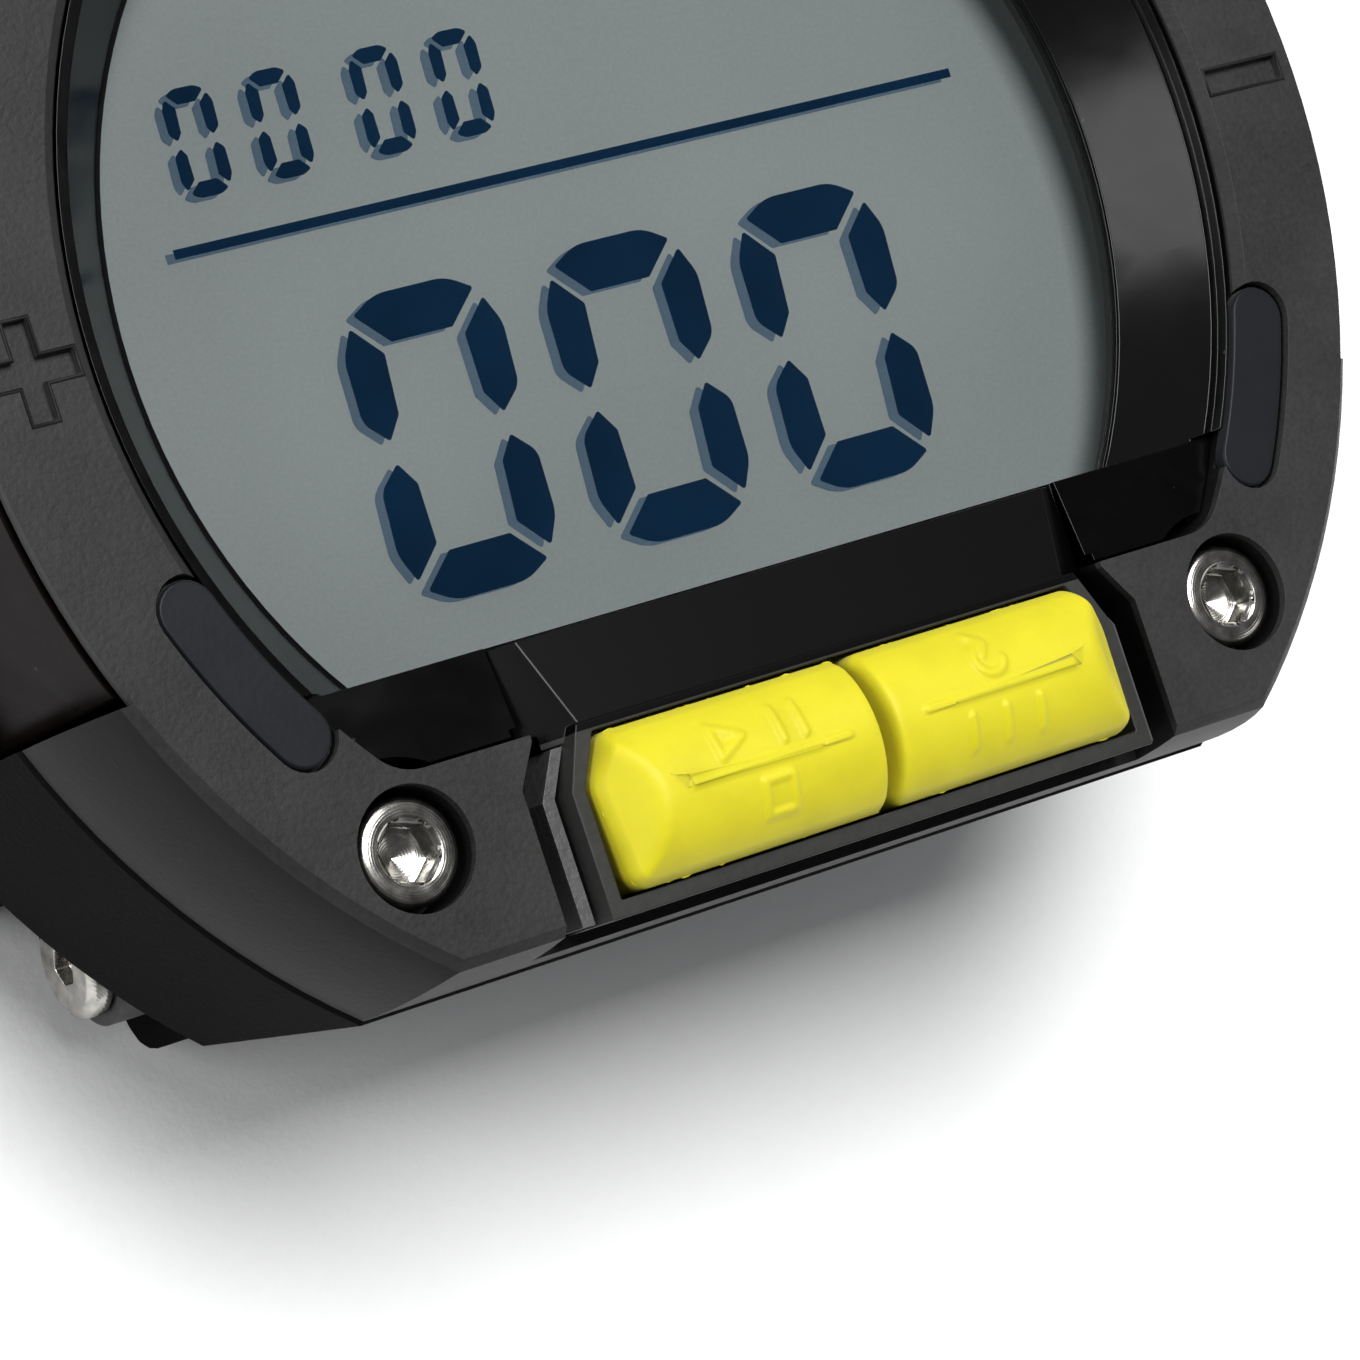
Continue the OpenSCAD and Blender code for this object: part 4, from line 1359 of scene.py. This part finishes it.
    def sign(self, x: float, y: float, strokes: list[tuple[Point, Point]]) -> float:
        """Height that the raised signs add at a point.

        Args:
            x: Distance from the middle of the face in millimetres.
            y: Distance up the face in millimetres.
            strokes: The straight strokes of the signs.

        Returns:
            The added height in millimetres.
        """
        nearest = min(distance_to((x, y), a, b) for a, b in strokes)
        t = min(max((self.sign_half_mm - nearest) / self.sign_slope_mm, 0.0), 1.0)
        return self.sign_lift_mm * t * t * (3 - 2 * t)

    def flange(self, corners: list[Point], radii: list[float], low: float) -> MeshLists:
        """The rim under the panel that holds a key in.

        Args:
            corners: Corner points in millimetres.
            radii: Radius of each corner.
            low: Height of the key's underside above the face in millimetres.

        Returns:
            Points in metres and faces.
        """
        loops = []
        for inset, z in ((0.1, low), (-0.2, low + 0.1), (-0.2, low + 0.6), (0.1, low + 0.7)):
            ring = [
                (
                    x if abs(x) > self.split_mm / 2 else math.copysign(self.split_mm / 2, x),
                    min(max(y, self.low_mm), self.high_mm + 0.3),
                )
                for x, y in inset_rounded(corners, radii, inset)
            ]
            loops.append([self.datum.place(x, y, z) for x, y in ring])
        return flatten(loops), skin(loops)

    def flash(self, corners: list[Point], radii: list[float]) -> MeshLists:
        """A paper-thin ragged edge left by the mould's parting line.

        Args:
            corners: Corner points in millimetres.
            radii: Radius of each corner.

        Returns:
            Points in metres and faces.
        """
        base = self.shoulder_mm - self.foot_drop_mm
        loops: list[Loop] = []
        outer = self.ring(corners, radii, 0.02)
        for lift, reach in ((0.0, 0.0), (0.02, 1.0), (0.05, 1.0), (0.07, 0.0)):
            loop = []
            for i, (x, y) in enumerate(outer):
                a, b = outer[i - 1], outer[(i + 1) % len(outer)]
                along = Vector((b[0] - a[0], b[1] - a[1])).normalized()
                rough = noise.noise(Vector((x * 1.1, y * 1.1, 3.0))) - 0.08
                fine = noise.noise(Vector((x * 4.0, y * 4.0, 7.0)))
                out = min(max(rough * 0.16 + fine * 0.07, 0.0), 0.07) * reach
                loop.append(self.datum.place(x + along.y * out, y - along.x * out, base + lift))
            loops.append(loop)
        return flatten(loops), skin(loops)

    def start_signs(self) -> list[list[Point]]:
        """A triangle and two bars over a dividing line, and a square under it.

        Returns:
            Paths of the raised signs, in millimetres.
        """
        x, top, mid, low, h = -4.9, -17.75, -18.85, -20.1, 0.58
        return [
            [(x - 1.9, top - h), (x - 0.8, top), (x - 1.9, top + h), (x - 1.9, top - h)],
            [(x + 0.7, top - h), (x + 0.7, top + h)],
            [(x + 1.6, top - h), (x + 1.6, top + h)],
            [(x - 3.2, mid), (x + 3.2, mid)],
            [
                (x - h, low - h),
                (x + h, low - h),
                (x + h, low + h),
                (x - h, low + h),
                (x - h, low - h),
            ],
        ]

    def reset_signs(self) -> list[list[Point]]:
        """A turning arrow over a dividing line, and three level bars under it.

        Returns:
            Paths of the raised signs, in millimetres.
        """
        x, top, mid, low, r = 4.9, -17.75, -18.85, -20.1, 0.58
        turn = [
            (x + r * math.cos(a), top + r * math.sin(a))
            for a in (math.radians(75 + 270 * k / 16) for k in range(17))
        ]
        return [
            turn,
            [(x - 0.35, top + 0.95), (x + 0.15, top + r), (x - 0.2, top + 0.15)],
            [(x - 3.2, mid), (x + 3.2, mid)],
            [(x - 1.5, low - 0.55), (x - 1.5, low + 0.55)],
            [(x, low - 0.55), (x, low + 0.55)],
            [(x + 1.5, low - 0.55), (x + 1.5, low + 0.55)],
        ]


def distance_to(point: Point, a: Point, b: Point) -> float:
    """Distance from a point to the straight line between two points.

    Args:
        point: The point.
        a: One end of the line.
        b: The line's other end.

    Returns:
        The distance, in the points' own units.
    """
    dx, dy = b[0] - a[0], b[1] - a[1]
    t = ((point[0] - a[0]) * dx + (point[1] - a[1]) * dy) / (dx * dx + dy * dy)
    t = min(max(t, 0.0), 1.0)
    return math.dist(point, (a[0] + dx * t, a[1] + dy * t))


def head_point(radius: float, z: float, angle: float) -> Vector:
    """Point on a ring about the Z axis, from millimetres to metres."""
    return Vector((radius * math.cos(angle), radius * math.sin(angle), z)) * MM


@dataclass
class Fasteners:
    """Socket-head screws of the face and the screws at the back and pivots."""

    nodes: dict[str, bpy.types.Object]
    datum: Datum
    head_mm: float = 3.8
    socket_mm: float = 1.95
    socket_depth_mm: float = 1.1
    socket_turn_deg: float = 12.0

    def build(self) -> None:
        """Builds the face screws and dresses the others."""
        low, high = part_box("bezel_screws")
        reach = high.x - self.head_mm / 2 * MM
        y = (low.y + high.y) / 2
        for name, x in (("left", -reach), ("right", reach)):
            screw = self.cap_screw(f"face_screw_{name}", Vector((x, y, high.z)), high.z - low.z)
            if name == "left":
                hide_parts("bezel_screws")
        for name in ("cover_screws", "stand_screws", "board_screws"):
            paint(self.nodes[name], FINISH.stainless)
            soften(self.nodes[name], 0.07)

    def hexagon(self, angle: float) -> float:
        """Distance from the middle to the side of a hexagon of width one.

        Args:
            angle: Direction in radians.

        Returns:
            The distance, as a share of the hexagon's width.
        """
        turned = angle - math.radians(self.socket_turn_deg) + math.pi / 6
        return 0.5 / math.cos(turned % (math.pi / 3) - math.pi / 6)

    def cap_screw(self, name: str, at: Vector, length: float) -> bpy.types.Object:
        """A socket-head screw: rounded head, chamfered hexagon socket, drilled bottom.

        Args:
            name: The piece's name.
            at: Middle of the head's top.
            length: Whole length in metres.

        Returns:
            The screw.
        """
        r, w = self.head_mm / 2, self.socket_mm
        deep = -self.socket_depth_mm
        round_profile = [
            (0.05, -length / MM), (1.0, -length / MM + 0.3), (1.0, -2.0), (r, -2.0), (r, -0.32),
            (r - 0.04, -0.16), (r - 0.13, -0.05), (r - 0.26, 0.0), (w * 0.5 + 0.26, 0.0),
            (w * 0.5 + 0.21, -0.01),
        ]
        hex_profile = [(1.06, -0.12), (1.0, -0.16), (1.0, deep + 0.02), (0.96, deep)]
        cone = [(w * 0.4, deep), (w * 0.36, deep - 0.02), (0.12, deep - 0.3), (0.02, deep - 0.33)]
        steps = 96
        angles = [math.tau * i / steps for i in range(steps)]
        loops: list[Loop] = []
        for radius, z in round_profile:
            loops.append([head_point(radius, z, a) for a in angles])
        for scale, z in hex_profile:
            loops.append([head_point(scale * w * self.hexagon(a), z, a) for a in angles])
        for radius, z in cone:
            loops.append([head_point(radius, z, a) for a in angles])
        screw = new_piece(
            name, flatten(loops), skin(loops), FINISH.stainless, Body.HOUSING, "stainless", at
        )
        split = screw.modifiers.new("crisp_edges", "EDGE_SPLIT")
        split.split_angle = math.radians(32)
        return screw


@dataclass
class SideKeys:
    """The long plus and minus keys on the rim."""

    nodes: dict[str, bpy.types.Object]

    def dress(self) -> None:
        """Polishes the keys and dresses the switches behind them."""
        for name in ("plus_key", "minus_key"):
            paint(self.nodes[name], FINISH.side_key)
            soften(self.nodes[name], 0.15)
        paint(self.nodes["side_switches"], FINISH.tinned)


@dataclass
class Rear:
    """Battery door, cell, tilt stand and what is inside the housing."""

    nodes: dict[str, bpy.types.Object]

    def dress(self) -> None:
        """Gives the rear and inner parts their finishes."""
        finishes: dict[str, tuple[Finish, float]] = {
            "battery": (FINISH.nickel, 0.2),
            "battery_plus": (FINISH.brass, 0.0),
            "battery_minus": (FINISH.brass, 0.0),
            "battery_door": (FINISH.cover, 0.12),
            "door_seal": (FINISH.seal, 0.0),
            "tilt_stand": (FINISH.nylon, 0.25),
            "stand_washers": (FINISH.natural, 0.0),
            "main_board": (FINISH.board, 0.0),
            "board_chips": (FINISH.epoxy, 0.0),
            "buzzer": (FINISH.epoxy, 0.1),
            "board_link": (FINISH.epoxy, 0.0),
            "radar_board": (FINISH.laminate, 0.0),
            "patch_antennas": (FINISH.copper, 0.0),
            "radar_can": (FINISH.tinned, 0.08),
        }
        for name, (finish, radius) in finishes.items():
            paint(self.nodes[name], finish)
            if radius:
                soften(self.nodes[name], radius)


# -------------------------------------------------------------------- studio


@dataclass
class Studio:
    """Pale floor, soft light and the camera."""

    datum: Datum
    target_mm: Point = (-6.06, -15.29)
    distance_mm: float = 174.38
    azimuth_deg: float = -85.6
    elevation_deg: float = 58.53
    roll_deg: float = 67.97
    lens_mm: float = 135.45
    walls: float = 0.5
    ceiling: float = 0.08
    lights: Sequence[tuple[str, tuple[float, float, float], float, float]] = field(
        default=(
            ("softbox_above", (0.0, 0.35, 0.95), 0.55, 14.0),
            ("softbox_left", (-0.74, 0.2, 0.33), 0.4, 2.9),
            ("softbox_right", (0.6, -0.3, 0.45), 0.3, 0.5),
        )
    )

    def build(self) -> None:
        """Builds the studio."""
        self.floor()
        self.sky()
        for name, place, size, power in self.lights:
            self.softbox(name, Vector(place), size, power)
        self.camera()

    def floor(self) -> None:
        """A wide white table top with a faint paper tooth."""
        mesh = bpy.data.meshes.new("table_top")
        half = 3.0
        corners = [(-half, -half, 0), (half, -half, 0), (half, half, 0), (-half, half, 0)]
        mesh.from_pydata(corners, [], [(0, 1, 2, 3)])
        mesh.materials.append(
            GrainedPlastic(
                "paper_white", "#f4f4f4", 0.8, grain_mm=0.6, light="#f6f6f6", dark="#f2f2f2"
            ).material()
        )
        top = bpy.data.objects.new("table_top", mesh)
        top.location.z = -0.02 * MM
        bpy.context.scene.collection.objects.link(top)

    def sky(self) -> None:
        """A pale room: bright low walls and a darker ceiling."""
        world = bpy.data.worlds.new("room")
        world.use_nodes = True
        tree = world.node_tree
        way = add_node(tree, "ShaderNodeTexCoord").outputs["Generated"]
        height = add_node(tree, "ShaderNodeSeparateXYZ", links={"Vector": way}).outputs["Z"]
        level = add_node(
            tree,
            "ShaderNodeMapRange",
            {"From Min": 0.3, "From Max": 0.65, "To Min": self.walls, "To Max": self.ceiling},
            {"Value": height},
        )
        back = tree.nodes["Background"]
        back.inputs["Color"].default_value = linear("#f6f8fb")
        tree.links.new(level.outputs["Result"], back.inputs["Strength"])
        bpy.context.scene.world = world

    def softbox(self, name: str, place: Vector, size: float, power: float) -> None:
        """One square area light that faces the object.

        Args:
            name: The light's name.
            place: Where it hangs, in metres.
            size: Length of its side in metres.
            power: Its power in watts.
        """
        lamp = bpy.data.lights.new(name, "AREA")
        lamp.shape = "SQUARE"
        lamp.size = size
        lamp.energy = power
        light = bpy.data.objects.new(name, lamp)
        light.location = place
        light.rotation_euler = (-place).to_track_quat("-Z", "Y").to_euler()
        bpy.context.scene.collection.objects.link(light)

    def camera(self) -> None:
        """The camera, close over the lower left of the face and rolled to its side."""
        lens = bpy.data.cameras.new("close_up")
        lens.lens = self.lens_mm
        lens.sensor_width = 36.0
        lens.clip_start = 0.01
        lens.clip_end = 20.0
        eye = bpy.data.objects.new("close_up", lens)
        a, e = math.radians(self.azimuth_deg), math.radians(self.elevation_deg)
        back = Vector((math.sin(a) * math.cos(e), -math.cos(a) * math.cos(e), math.sin(e)))
        aim = self.datum.place(*self.target_mm)
        turn = (-back).to_track_quat("-Z", "Y").to_matrix()
        roll = Matrix.Rotation(math.radians(self.roll_deg), 3, "Z")
        eye.matrix_world = Matrix.Translation(aim + back * self.distance_mm * MM) @ (
            turn @ roll
        ).to_4x4()
        bpy.context.scene.collection.objects.link(eye)
        bpy.context.scene.camera = eye
        bpy.context.scene.view_settings.view_transform = "Standard"


def main() -> None:
    """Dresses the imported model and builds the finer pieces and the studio."""
    logging.basicConfig(level=logging.INFO, format="%(message)s")
    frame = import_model()
    nodes = frame["nodes"]
    datum = Datum.read()
    Studio(datum).build()
    housing = Housing(nodes, datum)
    housing.dress()
    housing.mark_lips()
    housing.tripod_thread()
    Display(nodes, datum).build()
    FrontKeys(nodes, datum).build()
    Fasteners(nodes, datum).build()
    SideKeys(nodes).dress()
    Rear(nodes).dress()


if __name__ == "__main__":
    main()
